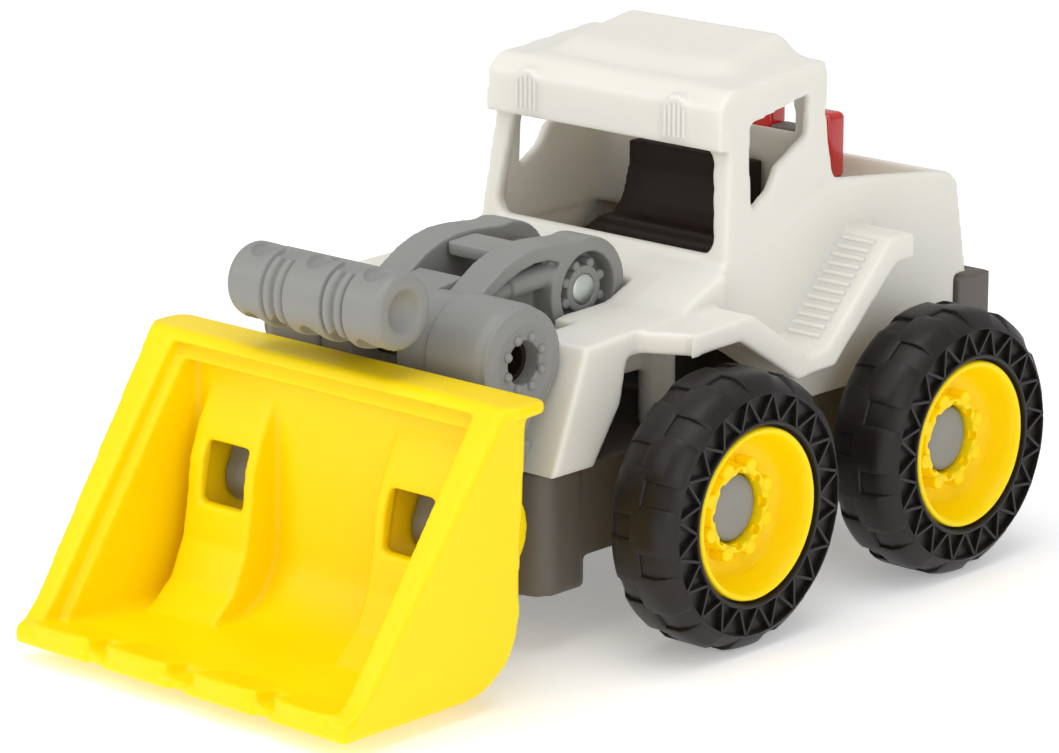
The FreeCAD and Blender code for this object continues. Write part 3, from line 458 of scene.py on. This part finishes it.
def lug(row, outer_x, inner_x):
    """A tread block that starts near the middle of the tread and wraps over the shoulder."""
    direction = 1 if outer_x > inner_x else -1
    face = outer_x - direction * 0.25
    outline = [(inner_x, LUG_ROOT), (inner_x + direction * 0.15, LUG_TOP - 0.17),
               (inner_x + direction * 0.6, LUG_TOP), (outer_x - direction * 4.0, LUG_TOP),
               (outer_x - direction * 2.4, 26.3), (face, 23.95), (face - direction * 1.6, 23.4),
               (outer_x - direction * 4.4, LUG_ROOT)]
    tread_block = swept("lug", outline, 2 * math.pi / LUGS * LUG_SHARE, 6)
    eased(tread_block, 0.25, 2)
    return ring_of(tread_block, LUGS, (0, 0, 0), LUG_PHASE + 0.5 * row)


def tyre_form():
    """The left tyre about its own axle: carcass, sunk zigzag side wall and two rows of lugs."""
    inner, outer = WALL_RIB
    half = [(-2.6, RIM_RADIUS), (-2.6, 17.35), (-0.5, 17.4), (-0.12, 17.5), (0, 17.7),
            (0, inner - 0.3), (-0.12, inner - 0.1), (-WALL_DEPTH, inner + 0.05),
            (-WALL_DEPTH, outer - 0.05), (-0.12, outer + 0.1), (0, outer + 0.25), (-0.2, 23.75),
            (-0.8, 24.4), (-2.2, 25.5), (-4.2, 26.3)]
    far = [(-TYRE_WIDTH - x, r) for x, r in reversed(half)]
    middle = [(-TYRE_WIDTH / 2, TREAD_RADIUS)]
    carcass = turned("carcass", half + middle + far + [half[0]], steps=112)
    smooth(carcass, 35)
    rows = [lug(0, 0, -LUG_LENGTH), lug(1, -TYRE_WIDTH, LUG_LENGTH - TYRE_WIDTH)]
    ribs = [ring_of(side_rib(lean), ZIGZAGS, (0, 0, 0)) for lean in (-1, 1)]
    return joined(carcass, *rows, *ribs)


def rim_form():
    """The left rim about its own axle: rolled lip, deep dish, lobed hub and a recess for the cap."""
    dish = [(-2.6, 16.8), (-0.75, 16.78), (-0.45, 16.55), (-0.35, 16.2), (-0.45, 15.85),
            (-0.9, 15.5), (-3.2, 14.9), (-6.2, 14.2), (-7.6, 13.4), (-8.3, 12.2), (-8.5, 10.8),
            (-8.5, 9.6), (-8.3, 9.1), (-7.6, 8.75), (-5.4, 8.55), (-5.05, 8.3), (-5.0, 8.0),
            (-5.0, 7.5), (-5.15, 7.15), (-5.5, 7.0), (-8.75, 6.95), (-8.8, 6.6), (-8.8, 1.55),
            (-16.3, 1.55), (-16.3, 4.0), (-10.6, 4.0), (-10.6, 13.8), (-15.4, 15.2),
            (-16.2, 15.5), (-16.3, 16.6), (-16.1, 16.8), (-2.6, 16.8)]
    body = smooth(turned("dish", dish), 50)
    lobe = rod("lobe", 1.55, (-8.7, -4.85), 0, 8.75, 24)
    eased(lobe, 0.4, 3)
    lobes = ring_of(lobe, HUB_LOBES, (0, 0, 0), 0.5)
    notch = rod("notch", 1.0, (-6.4, -4.7), 0, 7.0, 20)
    body = carved(body, ring_of(notch, HUB_LOBES, (0, 0, 0)))
    return joined(smooth(body, 40), lobes)


def cap_form():
    """The left axle cap: a domed disc with a softly sunk middle."""
    dome = [(-8.5, 0), (-8.5, 6.4), (-8.35, 6.55), (-7.4, 6.55), (-6.95, 6.35), (-6.6, 5.7),
            (-6.4, 4.2), (-6.35, 2.2), (-6.5, 1.2), (-6.55, 0)]
    return smooth(turned("cap", dome, steps=72), 50)


def at_corner(form, name, axle, side):
    """A copy of a left wheel piece at one corner of the toy."""
    obj = form.copy()
    obj.data = form.data.copy()
    bpy.context.collection.objects.link(obj)
    outer = extent(f"tyre_{axle}_left")[1].x
    obj.location = Vector((side * outer, AXLE_Y[axle], TYRE_RADIUS)) * MM
    obj.rotation_euler = (REAR_TURN if axle == "rear" else 0, 0, 0 if side > 0 else math.pi)
    return settle(obj, name)


def wheels():
    """Tyre, rim and cap at each corner, from one form of each."""
    forms = {"tyre": tyre_form(), "rim": rim_form(), "axle_cap": cap_form()}
    finish = {"tyre": (RUBBER, "tyre_rubber"), "rim": (YELLOW, "yellow_plastic"),
              "axle_cap": (GREY, "grey_plastic")}
    for axle in AXLES:
        for side_name, side in SIDES.items():
            for part, form in forms.items():
                cad = f"{part}_{axle}_{side_name}"
                body = "vehicle" if part == "axle_cap" else f"wheel_{axle}_{side_name}"
                obj = at_corner(form, cad + "_look", axle, side)
                dress(obj, finish[part][0], body, finish[part][1], cad)
    for form in forms.values():
        bpy.data.objects.remove(form)


# ---- bucket ------------------------------------------------------------------------------------

BUCKET_LOW, BUCKET_TOP = 3.5, 58.0
LOW_HALF, TOP_HALF = 43.5, 47.0
FLARE_PAST = 5.0              # the half widths are those this far below low and above top
SKIN_TOP = 57.9
EDGE, LIP_FRONT, LIP_BACK = -98.9, -59.4, -49.3   # y of the cutting edge and the top lip
MOUTH_PAST, MOUTH_STEP = 3.0, 3.4                 # how far the mouth's cut starts out, and sinks
POCKET, POCKET_SKIN = (16.0, 33.8), 1.7           # x of an inner pocket, and its side walls
WINDOW = (18.6, 30.0)         # x of a pocket's square window
TEETH = ((3.2, 20.0), (24.3, 40.8))
TOOTH_GAPS = (-22.2, 0, 22.2)


def half_width(z, inset=0.0):
    """The bucket's half width at a height: its sides flare upwards."""
    share = (z - BUCKET_LOW + FLARE_PAST) / (BUCKET_TOP - BUCKET_LOW + 2 * FLARE_PAST)
    return LOW_HALF + (TOP_HALF - LOW_HALF) * share - inset


def flared(name, outline, inset, inset_top=None):
    """A side outline extruded right across the bucket, its ends leaning with the flare."""
    inset_top = inset if inset_top is None else inset_top
    obj = side_plate(name, outline, (-1, 1))
    for vertex in obj.data.vertices:
        z = vertex.co.z / MM
        share = clamped((z - BUCKET_LOW) / (BUCKET_TOP - BUCKET_LOW))
        width = half_width(z, inset + (inset_top - inset) * share)
        vertex.co.x = math.copysign(width, vertex.co.x) * MM
    return obj


def scoop():
    """The bucket's skin: outside, a stepped mouth and the cavity."""
    heel = [(-67.0, BUCKET_LOW)] + arc((-67.0, 17.0), 13.5, -90, 0, 10)[1:] + [(-53.9, 25.0)]
    top = [(-53.8, SKIN_TOP), (LIP_FRONT, SKIN_TOP)]
    toe = [(-93.2, 10.6), (-95.6, 8.2), (-98.2, 7.0), (EDGE, 6.0)]
    outside = flared("scoop", [(EDGE, BUCKET_LOW)] + heel + top + toe, 0)
    slope = (LIP_FRONT - EDGE) / (SKIN_TOP - BUCKET_LOW)
    low, high = ((EDGE - MOUTH_PAST + slope * (z - BUCKET_LOW), z) for z in (5.2, 55.6))
    sunk = MOUTH_PAST + MOUTH_STEP
    step = flared("step", [low, (low[0] + sunk + 2, 5.4), (high[0] + sunk, high[1]), high],
                  4.4, 7.4)
    floor = [(-103, 6.2), (-74, 6.2)] + arc((-70.5, 20.2), 14, -90, 0, 10)
    cavity = flared("cavity", floor + [(-56.2, 26), (-56.2, 52.4), (-80, 52.4)], 6.0, 9.4)
    return carved(outside, step, cavity)


def pocket_parts(side):
    """One inner pocket: its rib and hinge lugs, then the room for the leg, the square window and
    the hinge's hole."""
    inner, outer = sorted(side * x for x in POCKET)
    rib = side_plate("rib", [(-54.5, 49), (-56.5, 47.6), (-60.0, 40.5), (-62.4, 34), (-63.2, 27),
                             (-64.6, 19), (-68.0, 11.5), (-75.0, 5.5), (-60, 4.6), (-54.5, 14)],
                     (inner, outer))
    room = side_plate("room", [(-48, 22.7), (-59.3, 22.7), (-61.3, 26.9), (-58.6, 39.1),
                               (-54.4, 45.3), (-48, 45.3)],
                      (inner + POCKET_SKIN, outer - POCKET_SKIN))
    low, high = sorted(side * x for x in WINDOW)
    window = block("window", (low, FRONT - 70, 26.0), (high, FRONT - 55, 38.0))
    walls = ((inner, inner + POCKET_SKIN), (outer - POCKET_SKIN, outer))
    lugs = [rod("lug", 9.4, x, TILT.y, TILT.z) for x in walls]
    hinge = rod("hinge", 1.5, (inner - 1, outer + 1), TILT.y, TILT.z, 32)
    return [rib] + lugs, [room, window, hinge]


def tooth(x):
    """A raised tooth whose front edge is bowed and whose top ramps down to the floor."""
    low, high = x
    bow = [(low, EDGE + 1.6), (low + 2.5, EDGE + 0.4), ((low + high) / 2, EDGE),
           (high - 2.5, EDGE + 0.3), (high, EDGE + 1.3), (high, EDGE + 11.9), (low, EDGE + 11.9)]
    slab = drawn("tooth", [(a, b + FRONT, BUCKET_LOW) for a, b in bow], (0, 0, 4.6))
    for vertex in slab.data.vertices:
        if vertex.co.z > 5 * MM and vertex.co.y > (FRONT - 90) * MM:
            vertex.co.z = 5.9 * MM
    return slab


def bucket():
    """The bucket: skin, lip, pockets and teeth fused and rounded as one moulding."""
    body = scoop()
    ribs, rooms = [], []
    for side in SIDES.values():
        solid, empty = pocket_parts(side)
        ribs += solid
        rooms += empty
    lip = block("lip", (-48.5, FRONT + LIP_FRONT + 0.1, 55.6), (48.5, FRONT + LIP_BACK, 57.95))
    lip = eased_corners(lip, 3.4)
    teeth = [tooth(sorted((side * near, side * far)))
             for side in SIDES.values() for near, far in TEETH]
    notches = [block("notch", (x - 2.2, FRONT + EDGE - 2.1, 2), (x + 2.2, FRONT + EDGE + 1.0, 9))
               for x in TOOTH_GAPS]
    body = grown(body, lip, *ribs, *teeth)
    body = carved(body, *rooms, *notches)
    moulded(body, 0.5, 11, 0.6)
    body.name = "bucket_look"
    dress(body, YELLOW, "bucket", "yellow_plastic", "bucket")


def eased_corners(obj, width):
    """Round the upright edges of a flat plate."""
    only(obj)
    bpy.ops.object.mode_set(mode="EDIT")
    bpy.ops.mesh.select_mode(type="EDGE")
    bpy.ops.mesh.select_all(action="DESELECT")
    bpy.ops.object.mode_set(mode="OBJECT")
    for edge in obj.data.edges:
        a, b = (obj.data.vertices[i].co for i in edge.vertices)
        edge.select = abs((a - b).normalized().z) > 0.99
    bpy.ops.object.mode_set(mode="EDIT")
    bpy.ops.mesh.bevel(offset=width * MM, segments=6)
    bpy.ops.object.mode_set(mode="OBJECT")
    return obj


# ---- loader arms and grip ----------------------------------------------------------------------

ELBOW = (-36.0, 58.8)         # the elbow's axis: y from the front axle, and height
ELBOW_RADIUS = 10.9
ELBOW_FACE = 29.6             # x of the barrel's outer face
RING_RADIUS, RECESS_RADIUS, RECESS_DEPTH = 10.5, 7.5, 4.6
PANEL_DEPTH = 5.2             # how deep the arm's open side is sunk
LOBES = 8                     # round the boss in the ring, and beads round the elbow's hole
GRIP = (-58.0, 71.0)          # the grip's axis: y from the front axle, and height
GRIP_RADIUS = 7.25
ROLL_END = 1.3                # length of the roll's rounded ends
FIELDS = (-7.8, 7.8)          # middles of the sunk fields that hold a pair of bands each
FIELD_HALF, FIELD_DEPTH = 3.0, 1.15
BAND_PLACE, BAND_HALF, BAND_RISE = 1.42, 1.05, 1.25   # from the field's middle, and its floor
BAND_MIDDLE, BAND_SPAN = 88, 66                       # degrees from straight up, and to each end
OVER = (-14.6, 0.0, 14.6)     # middles of the oval hollows along the top
UNDER = (-14.6, -7.8, 0.0, 7.8, 14.6)
HOLLOW_HALF = (2.9, 3.8)      # half a hollow's length along the roll and round it
FULLER = 0.9                  # how much lower the roll's underside bulges


def relief(x, angle):
    """The roll's radius at a place: fields with bands, hollows, and a fuller underside. The angle
    is from straight up, forwards positive."""
    below = clamped(-math.cos(angle)) * clamped((18.0 - abs(x)) / 1.5)
    radius = GRIP_RADIUS + FULLER * below
    front = clamped((math.sin(angle) + 0.1) / 0.15)
    for middle in FIELDS:
        away = abs(x - middle)
        radius -= FIELD_DEPTH * front * clamped((FIELD_HALF - away) / 0.3)
        across = (away - BAND_PLACE) / BAND_HALF
        along = (angle - math.radians(BAND_MIDDLE)) / math.radians(BAND_SPAN)
        if abs(across) < 1 and abs(along) < 1:
            radius += BAND_RISE * math.sqrt(1 - across ** 2) * clamped((1 - abs(along)) / 0.06)
    for middles, pole, deep in ((OVER, 0.1, 1.5), (UNDER, math.pi - 0.35, 2.4)):
        for middle in middles:
            turn = (angle - pole + math.pi) % (2 * math.pi) - math.pi
            along = (x - middle) / HOLLOW_HALF[0]
            around = turn * GRIP_RADIUS / HOLLOW_HALF[1]
            radius -= deep * math.sqrt(max(1 - along ** 2 - around ** 2, 0))
    return radius


def roll_skin(half):
    """The roll as one closed skin of rings, with dimpled ends."""
    ends = [(half - 1.0, GRIP_RADIUS - 0.1), (half - 0.45, GRIP_RADIUS - 0.4),
            (half - 0.1, GRIP_RADIUS - 0.9), (half, GRIP_RADIUS - 1.6), (half, 4.4),
            (half - 0.4, 3.9), (half - 1.4, 2.9), (half - 2.1, 1.6), (half - 2.3, 0.3)]
    pitch, steps = 0.25, 150
    count = round(2 * (half - ROLL_END) / pitch)
    side = [(ROLL_END - half + pitch * step, GRIP_RADIUS) for step in range(count + 1)]
    rings = [(-x, r) for x, r in reversed(ends)] + side + ends
    points = []
    for x, radius in rings:
        for step in range(steps):
            angle = 2 * math.pi * step / steps
            r = relief(x, angle) if radius == GRIP_RADIUS else radius
            points.append((x, FRONT + GRIP[0] - r * math.sin(angle), GRIP[1] + r * math.cos(angle)))
    last = (len(rings) - 1) * steps
    faces = [[*range(steps)], [*range(last, last + steps)]]
    for ring in range(len(rings) - 1):
        for step in range(steps):
            low = ring * steps + step
            high = ring * steps + (step + 1) % steps
            faces.append([low, high, high + steps, low + steps])
    return outward(net("roll", points, faces))


def grip():
    """The grip: a roll with dimpled ends, oval hollows and two pairs of bands, and its neck."""
    y, z = FRONT + GRIP[0], GRIP[1]
    roll = roll_skin(extent("grip_handle")[1].x)
    keep = block("keep", (-21, y - 9, z - 11), (21, y + 2.0, z + 11))
    ends = [block("end", (low, y - 9, z - 11), (low + 16, y + 9, z + 11)) for low in (5.8, -21.8)]
    neck = carved(cad_copy("grip_handle", "neck"), keep, *ends)
    moulded(joined(roll, neck), 0.26, 2)
    roll.name = "grip_look"
    dress(roll, GREY, "loader", "grey_plastic", "grip_handle")


def arm():
    """The left arm: a bow with an open sunk side and a strut, a deep ring with a lobed boss, and
    the eye behind the elbow."""
    low, high = extent("arm_left")
    outer = high.x
    bow = [(-2, 73.9), (-5, 74.0), (-9, 74.4), (-13, 74.6), (-17, 74.5), (-21, 73.7), (-25, 72.2),
           (-29, 69.8), (-33, 67.3), (-37, 64.2), (-41, 60), (-42, 55), (-40, 53), (-28, 53),
           (-20, 60.8), (-11, 58.5), (-6, 54.7)]
    link = side_plate("arm_left_look", bow, (low.x, outer))
    panel = [(-8.0, 50), (-8.0, 70.2), (-12, 71.5), (-16, 71.6), (-20, 70.8), (-24, 69.3),
             (-28, 67.2), (-32, 64.4), (-34.5, 61.6), (-34.5, 50)]
    link = carved(link, side_plate("panel", panel, (outer - PANEL_DEPTH, outer + 1)))
    ring = rod("ring", RING_RADIUS, (low.x, outer), LIFT.y, LIFT.z, 96)
    eye = rod("eye", 10.2, (low.x, outer), FRONT + ELBOW[0], ELBOW[1], 96)
    recess = [(outer - RECESS_DEPTH, 0), (outer - RECESS_DEPTH, RECESS_RADIUS),
              (outer + 1, RECESS_RADIUS + 0.1), (outer + 1, 0)]
    for blank in (link, ring):
        carved(blank, turned("recess", recess, (0, LIFT.y, LIFT.z)))
    thick = strut("strut", 2.4, (outer - 2.9, FRONT - 8.5, 68.3), (outer - 2.9, FRONT - 21.5, 67.4))
    thin = strut("strut", 1.9, (outer - 3.2, FRONT - 20, 67.4), (outer - 3.2, FRONT - 31, 65.6))
    back, front, bore, wall = outer - 6, outer - 1.1, 3.05, 4.75
    boss = turned("boss", [(back, bore), (back, wall), (front, wall), (front, bore), (back, bore)],
                  (0, LIFT.y, LIFT.z))
    joined(link, ring, eye, thick, thin)
    moulded(link, 0.34, 8)
    lobe = eased(rod("lobe", 1.0, (back, front), LIFT.y, LIFT.z + wall + 0.55, 20), 0.4, 3)
    return joined(link, eased(boss, 0.35), ring_of(lobe, LOBES, (0, LIFT.y, LIFT.z), 0.5))


def elbow():
    """The left elbow and leg: a full barrel with a rounded end, and beads round its hole."""
    leg = cad_copy("elbow_left", "elbow_left_look")
    y, z = FRONT + ELBOW[0], ELBOW[1]
    face, full = ELBOW_FACE, ELBOW_RADIUS
    start = extent("elbow_left")[0].x
    shape = [(start, 4.2), (start, full), (face - 3.4, full), (face - 2.2, full - 0.25),
             (face - 1.2, full - 0.9), (face - 0.5, full - 1.8), (face - 0.1, full - 2.8),
             (face, full - 3.6), (face - 0.1, 7.0), (face - 0.3, 4.2), (start, 4.2)]
    barrel = turned("barrel", shape, (0, y, z))
    moulded(joined(leg, barrel), 0.34, 3)
    bead = ball("bead", 1.0, (face - 0.25, y, z + 5.0))
    return joined(leg, smooth(ring_of(bead, LOBES, (0, y, z), 0.5)))


def loader():
    """Both arms and elbows, the bridge between the arms, the lift pin and the grip."""
    for left in (arm(), elbow()):
        part = left.name.split("_")[0]
        right = twin(left, f"{part}_right_look")
        dress(left, GREY, "loader", "grey_plastic", f"{part}_left")
        dress(right, GREY, "loader", "grey_plastic", f"{part}_right")
    bridge = eased(cad_copy("arm_bridge", "bridge_look"), 1.4, 5)
    dress(bridge, GREY, "loader", "grey_plastic", "arm_bridge")
    low, high = extent("lift_pin")
    radius = (high.z - low.z) / 2
    pin = turned("lift_pin_look", [(low.x, 0), (low.x, radius - 0.5), (low.x + 0.35, radius),
                                   (high.x - 0.35, radius), (high.x, radius - 0.5),
                                   (high.x, 0)], (0, LIFT.y, LIFT.z), 64)
    dress(smooth(pin), STEEL, "loader", "steel", "lift_pin")
    grip()


# ---- body, chassis, cab ------------------------------------------------------------------------

RIDGES = 12                   # foot ridges on the ramp up each side
RAMP_FOOT, RAMP_RUN = (36.0, 51.22), (18.0, 17.2)   # y from the front axle, and height
SEAT_HALF, SEAT_CELL = 16.0, 0.5
LAMP_DEEPER = 0.9             # how much further back a beacon reaches than its simple block
CROWN_HALF, CROWN_FRONT, CROWN_BACK = 26.0, 21.0, 51.0
CROWN_RISE = 4.5              # height of the roof's middle over its skirt, at the back
CROWN_BOW = 3.0               # how far the crown's front edge curves back at its ends
VENT_PLACE, VENT_HALF = 19.4, 3.3
VENT_RIB, VENT_PITCH = 0.34, 1.2
CHANNEL = (14.9, 20.6)        # x from beside the arms into the nose's rails
CHANNEL_BACK = (10.7, 14.6)   # y from behind the lift rings into the cowl


def crown():
    """The raised middle of the roof, with long soft slopes and a bowed front edge."""
    columns, rows = 52, 34
    points = []
    for row in range(rows + 1):
        for column in range(columns + 1):
            x = CROWN_HALF * (2 * column / columns - 1)
            front = CROWN_FRONT + CROWN_BOW * (x / CROWN_HALF) ** 2
            y = front + (CROWN_BACK - front) * row / rows
            side = ease((CROWN_HALF - abs(x)) / 7.5)
            end = ease((y - front) / 11.0) * ease((CROWN_BACK - y) / 1.8)
            skirt = 100.9 + (y - CROWN_FRONT) * 0.083
            z = skirt + side * end * (CROWN_RISE + (y - CROWN_BACK) * 0.09)
            points.append((x, y + FRONT, z))
    faces = []
    for row in range(rows):
        for column in range(columns):
            low = row * (columns + 1) + column
            faces.append([low, low + 1, low + columns + 2, low + columns + 1])
    skin = net("crown", points, faces)
    return outward(finished(skin, "SOLIDIFY", thickness=1.6 * MM, offset=-1.0))


def grille(side):
    """A vent at a front corner of the roof: a round-topped pad, and its upright ribs."""
    middle = side * VENT_PLACE
    top = arc((middle, 96.8), VENT_HALF, 0, 180, 12)
    outline = [(middle - VENT_HALF, 91.2), (middle + VENT_HALF, 91.2)] + top
    pad = drawn("pad", [(x, FRONT + 17.55, z) for x, z in outline], (0, 5.5, 0))
    ribs = []
    for step in (-2, -1, 0, 1, 2):
        x, y = middle + step * VENT_PITCH, FRONT + 17.6
        ribs.append(strut("rib", VENT_RIB, (x, y, 91.8), (x, y, 98.6 - abs(step) * 0.5), 12))
    return pad, ribs


def cheeks():
    """Walls that close the nose's channel beside the arms' rings and behind them."""
    start, end = CHANNEL_BACK
    beside = [(-12, 50), (end, 50), (end, 66.0), (3, 61.2), (-12, 60.5)]
    walls = [side_plate("cheek", beside, sorted(side * x for x in CHANNEL))
             for side in SIDES.values()]
    behind = side_plate("cheek", [(start, 50), (end, 50), (end, 66.0), (start, 64.3)],
                        (-15.2, 15.2))
    return joined(behind, *walls)


def ridges(side):
    """The foot ridges up one side's ramp, standing a little out of it."""
    across = (side * 30.3, side * 41.0)
    bars = []
    for count in range(RIDGES):
        share = (count + 0.5) / RIDGES
        y = FRONT + RAMP_FOOT[0] + share * RAMP_RUN[0]
        z = RAMP_FOOT[1] + share * RAMP_RUN[1]
        bars.append(rod("ridge", 0.55, across, y, z, 12))
    return bars


def body_shell():
    """The shell with its roof vents, crown and the ridged ramps over the rear wheels."""
    shell = cad_copy("body_shell", "shell_look")
    over = [(15.0, 101.2), (52.0, 103.85), (52.0, 112.0), (15.0, 112.0)]
    carved(shell, side_plate("over", over, (-32, 32)))
    pads, ribs = [], []
    for side in SIDES.values():
        pad, lines = grille(side)
        pads.append(pad)
        ribs += lines + ridges(side)
    shell = moulded(joined(shell, crown(), cheeks(), *pads), 0.6, 6, 0.45)
    dress(shell, WHITE, "vehicle", "white_plastic", "body_shell")
    for rib in ribs:
        smooth(rib).data.materials.append(THIN_WHITE)
    joined(shell, *ribs)


def chassis():
    """The chassis, with the soft edges of a moulding."""
    base = moulded(cad_copy("chassis", "chassis_look"), 0.6, 3, 0.45)
    dress(base, GREY_PAINTED_SHADE, "vehicle", "grey_plastic", "chassis")
# Its finish is the grey plastic with painted shade and painted warm bounced light.


def cab_insert():
    """The insert, its grey painted dark with the cab's shade: a floor that sweeps up into a seat back,
    narrower than its base.
    """
    seat = cad_copy("cab_interior", "cab_insert_look")
    slope = [(44.6, 60.5), (44.6, 77.0), (42.6, 70.5), (38.5, 66.4), (31.0, 63.6), (23.5, 62.4),
             (23.5, 60.5)]
    seat = joined(seat, side_plate("slope", slope, (-19.4, 24.5)))
    for side in SIDES.values():
        near, far = sorted((side * SEAT_HALF, side * 30.0))
        finished(seat, "REMESH", mode="VOXEL", voxel_size=SEAT_CELL * MM)
        carved(seat, block("beside", (near, FRONT + 15, 66.5), (far, FRONT + 60, 84)))
    moulded(seat, SEAT_CELL, 4)
    # Painted shade: the insert's dark colour stands in for the shade inside the cab.
    dress(seat, GREY_PAINTED_DEEP_SHADE, "vehicle", "dark_grey_plastic", "cab_interior")


def beacons():
    """The grey mount, and beside it two upright red blocks with rounded edges."""
    mount = eased(cad_copy("beacon_mount", "beacon_mount_look"), 0.6)
    # The mount takes the same grey with painted shade.
    dress(mount, GREY_PAINTED_SHADE, "vehicle", "grey_plastic", "beacon_mount")
    low, high = extent("beacon_left")
    lamp = block("beacon_left_look", low, high + Vector((0, LAMP_DEEPER, 0)))
    eased(lamp, 1.4, 5)
    right = twin(lamp, "beacon_right_look")
    dress(lamp, RED, "vehicle", "red_lens", "beacon_left")
    dress(right, RED, "vehicle", "red_lens", "beacon_right")


def carried_over():
    """CAD nodes that keep their own shape and get a finish."""
    # The elbow tube takes the dark grey with painted deep shade.
    finish = {"axle_front": STEEL, "axle_rear": STEEL, "chassis_screws": STEEL,
              "bucket_pin_left": STEEL, "bucket_pin_right": STEEL, "elbow_tube": GREY_PAINTED_DEEP_SHADE}
    for cad, material in finish.items():
        obj = frame["nodes"][cad]
        for slot in obj.material_slots:
            slot.material = material


# ---- floor, light and camera -------------------------------------------------------------------

def studio():
    """A pale floor that glows a little, soft lights overhead, in front and at the left, and a pale
    world."""
    bpy.ops.mesh.primitive_plane_add(size=8, location=(0, 0, 0))
    floor = bpy.context.active_object
    floor.name = "floor"
    board = surface("painted_board_white", "#FFFFFF", "#FCFCFC", 0.6, 2.0, 0.02,
                    {"Emission Color": (1, 1, 1, 1), "Emission Strength": 0.28})
    floor.data.materials.append(board)
    lights = {"overhead": ((0.1, -0.2, 1.1), (0, 0, 0), 0.9, 5),
              "front": ((-0.5, -1.0, 0.7), (0, 0, 0.03), 0.8, 4),
              "side": ((1.0, -0.5, 0.45), (0, 0, 0.04), 0.7, 2.7)}
    for name, (place, target, size, power) in lights.items():
        data = bpy.data.lights.new(name, "AREA")
        data.shape = "SQUARE"
        data.size = size
        data.energy = power
        lamp = bpy.data.objects.new(name, data)
        lamp.location = place
        lamp.rotation_euler = (Vector(target) - Vector(place)).to_track_quat("-Z", "Y").to_euler()
        bpy.context.collection.objects.link(lamp)
    world = bpy.data.worlds.new("studio")
    world.use_nodes = True
    sky = world.node_tree.nodes["Background"].inputs
    sky["Color"].default_value = (1, 1, 1, 1)
    sky["Strength"].default_value = 0.55
    bpy.context.scene.world = world
    bpy.context.scene.view_settings.view_transform = "Standard"


def camera():
    """A long lens, from the front left and a little above."""
    back = Vector((0.6525, -0.7118, 0.2601)).normalized()
    right = Vector((0.7372, 0.6757, 0.0)).normalized()
    up = back.cross(right)
    data = bpy.data.cameras.new("camera")
    data.lens = 161.63
    data.sensor_width = 36.0
    data.clip_end = 20
    view = bpy.data.objects.new("camera", data)
    turn = Matrix((right, up, back)).transposed().to_4x4()
    place = Vector((605.73, -663.35 + FRONT, 285.76)) * MM
    view.matrix_world = Matrix.Translation(place) @ turn
    bpy.context.collection.objects.link(view)
    bpy.context.scene.camera = view


wheels()
bucket()
loader()
body_shell()
chassis()
cab_insert()
beacons()
carried_over()
studio()
camera()
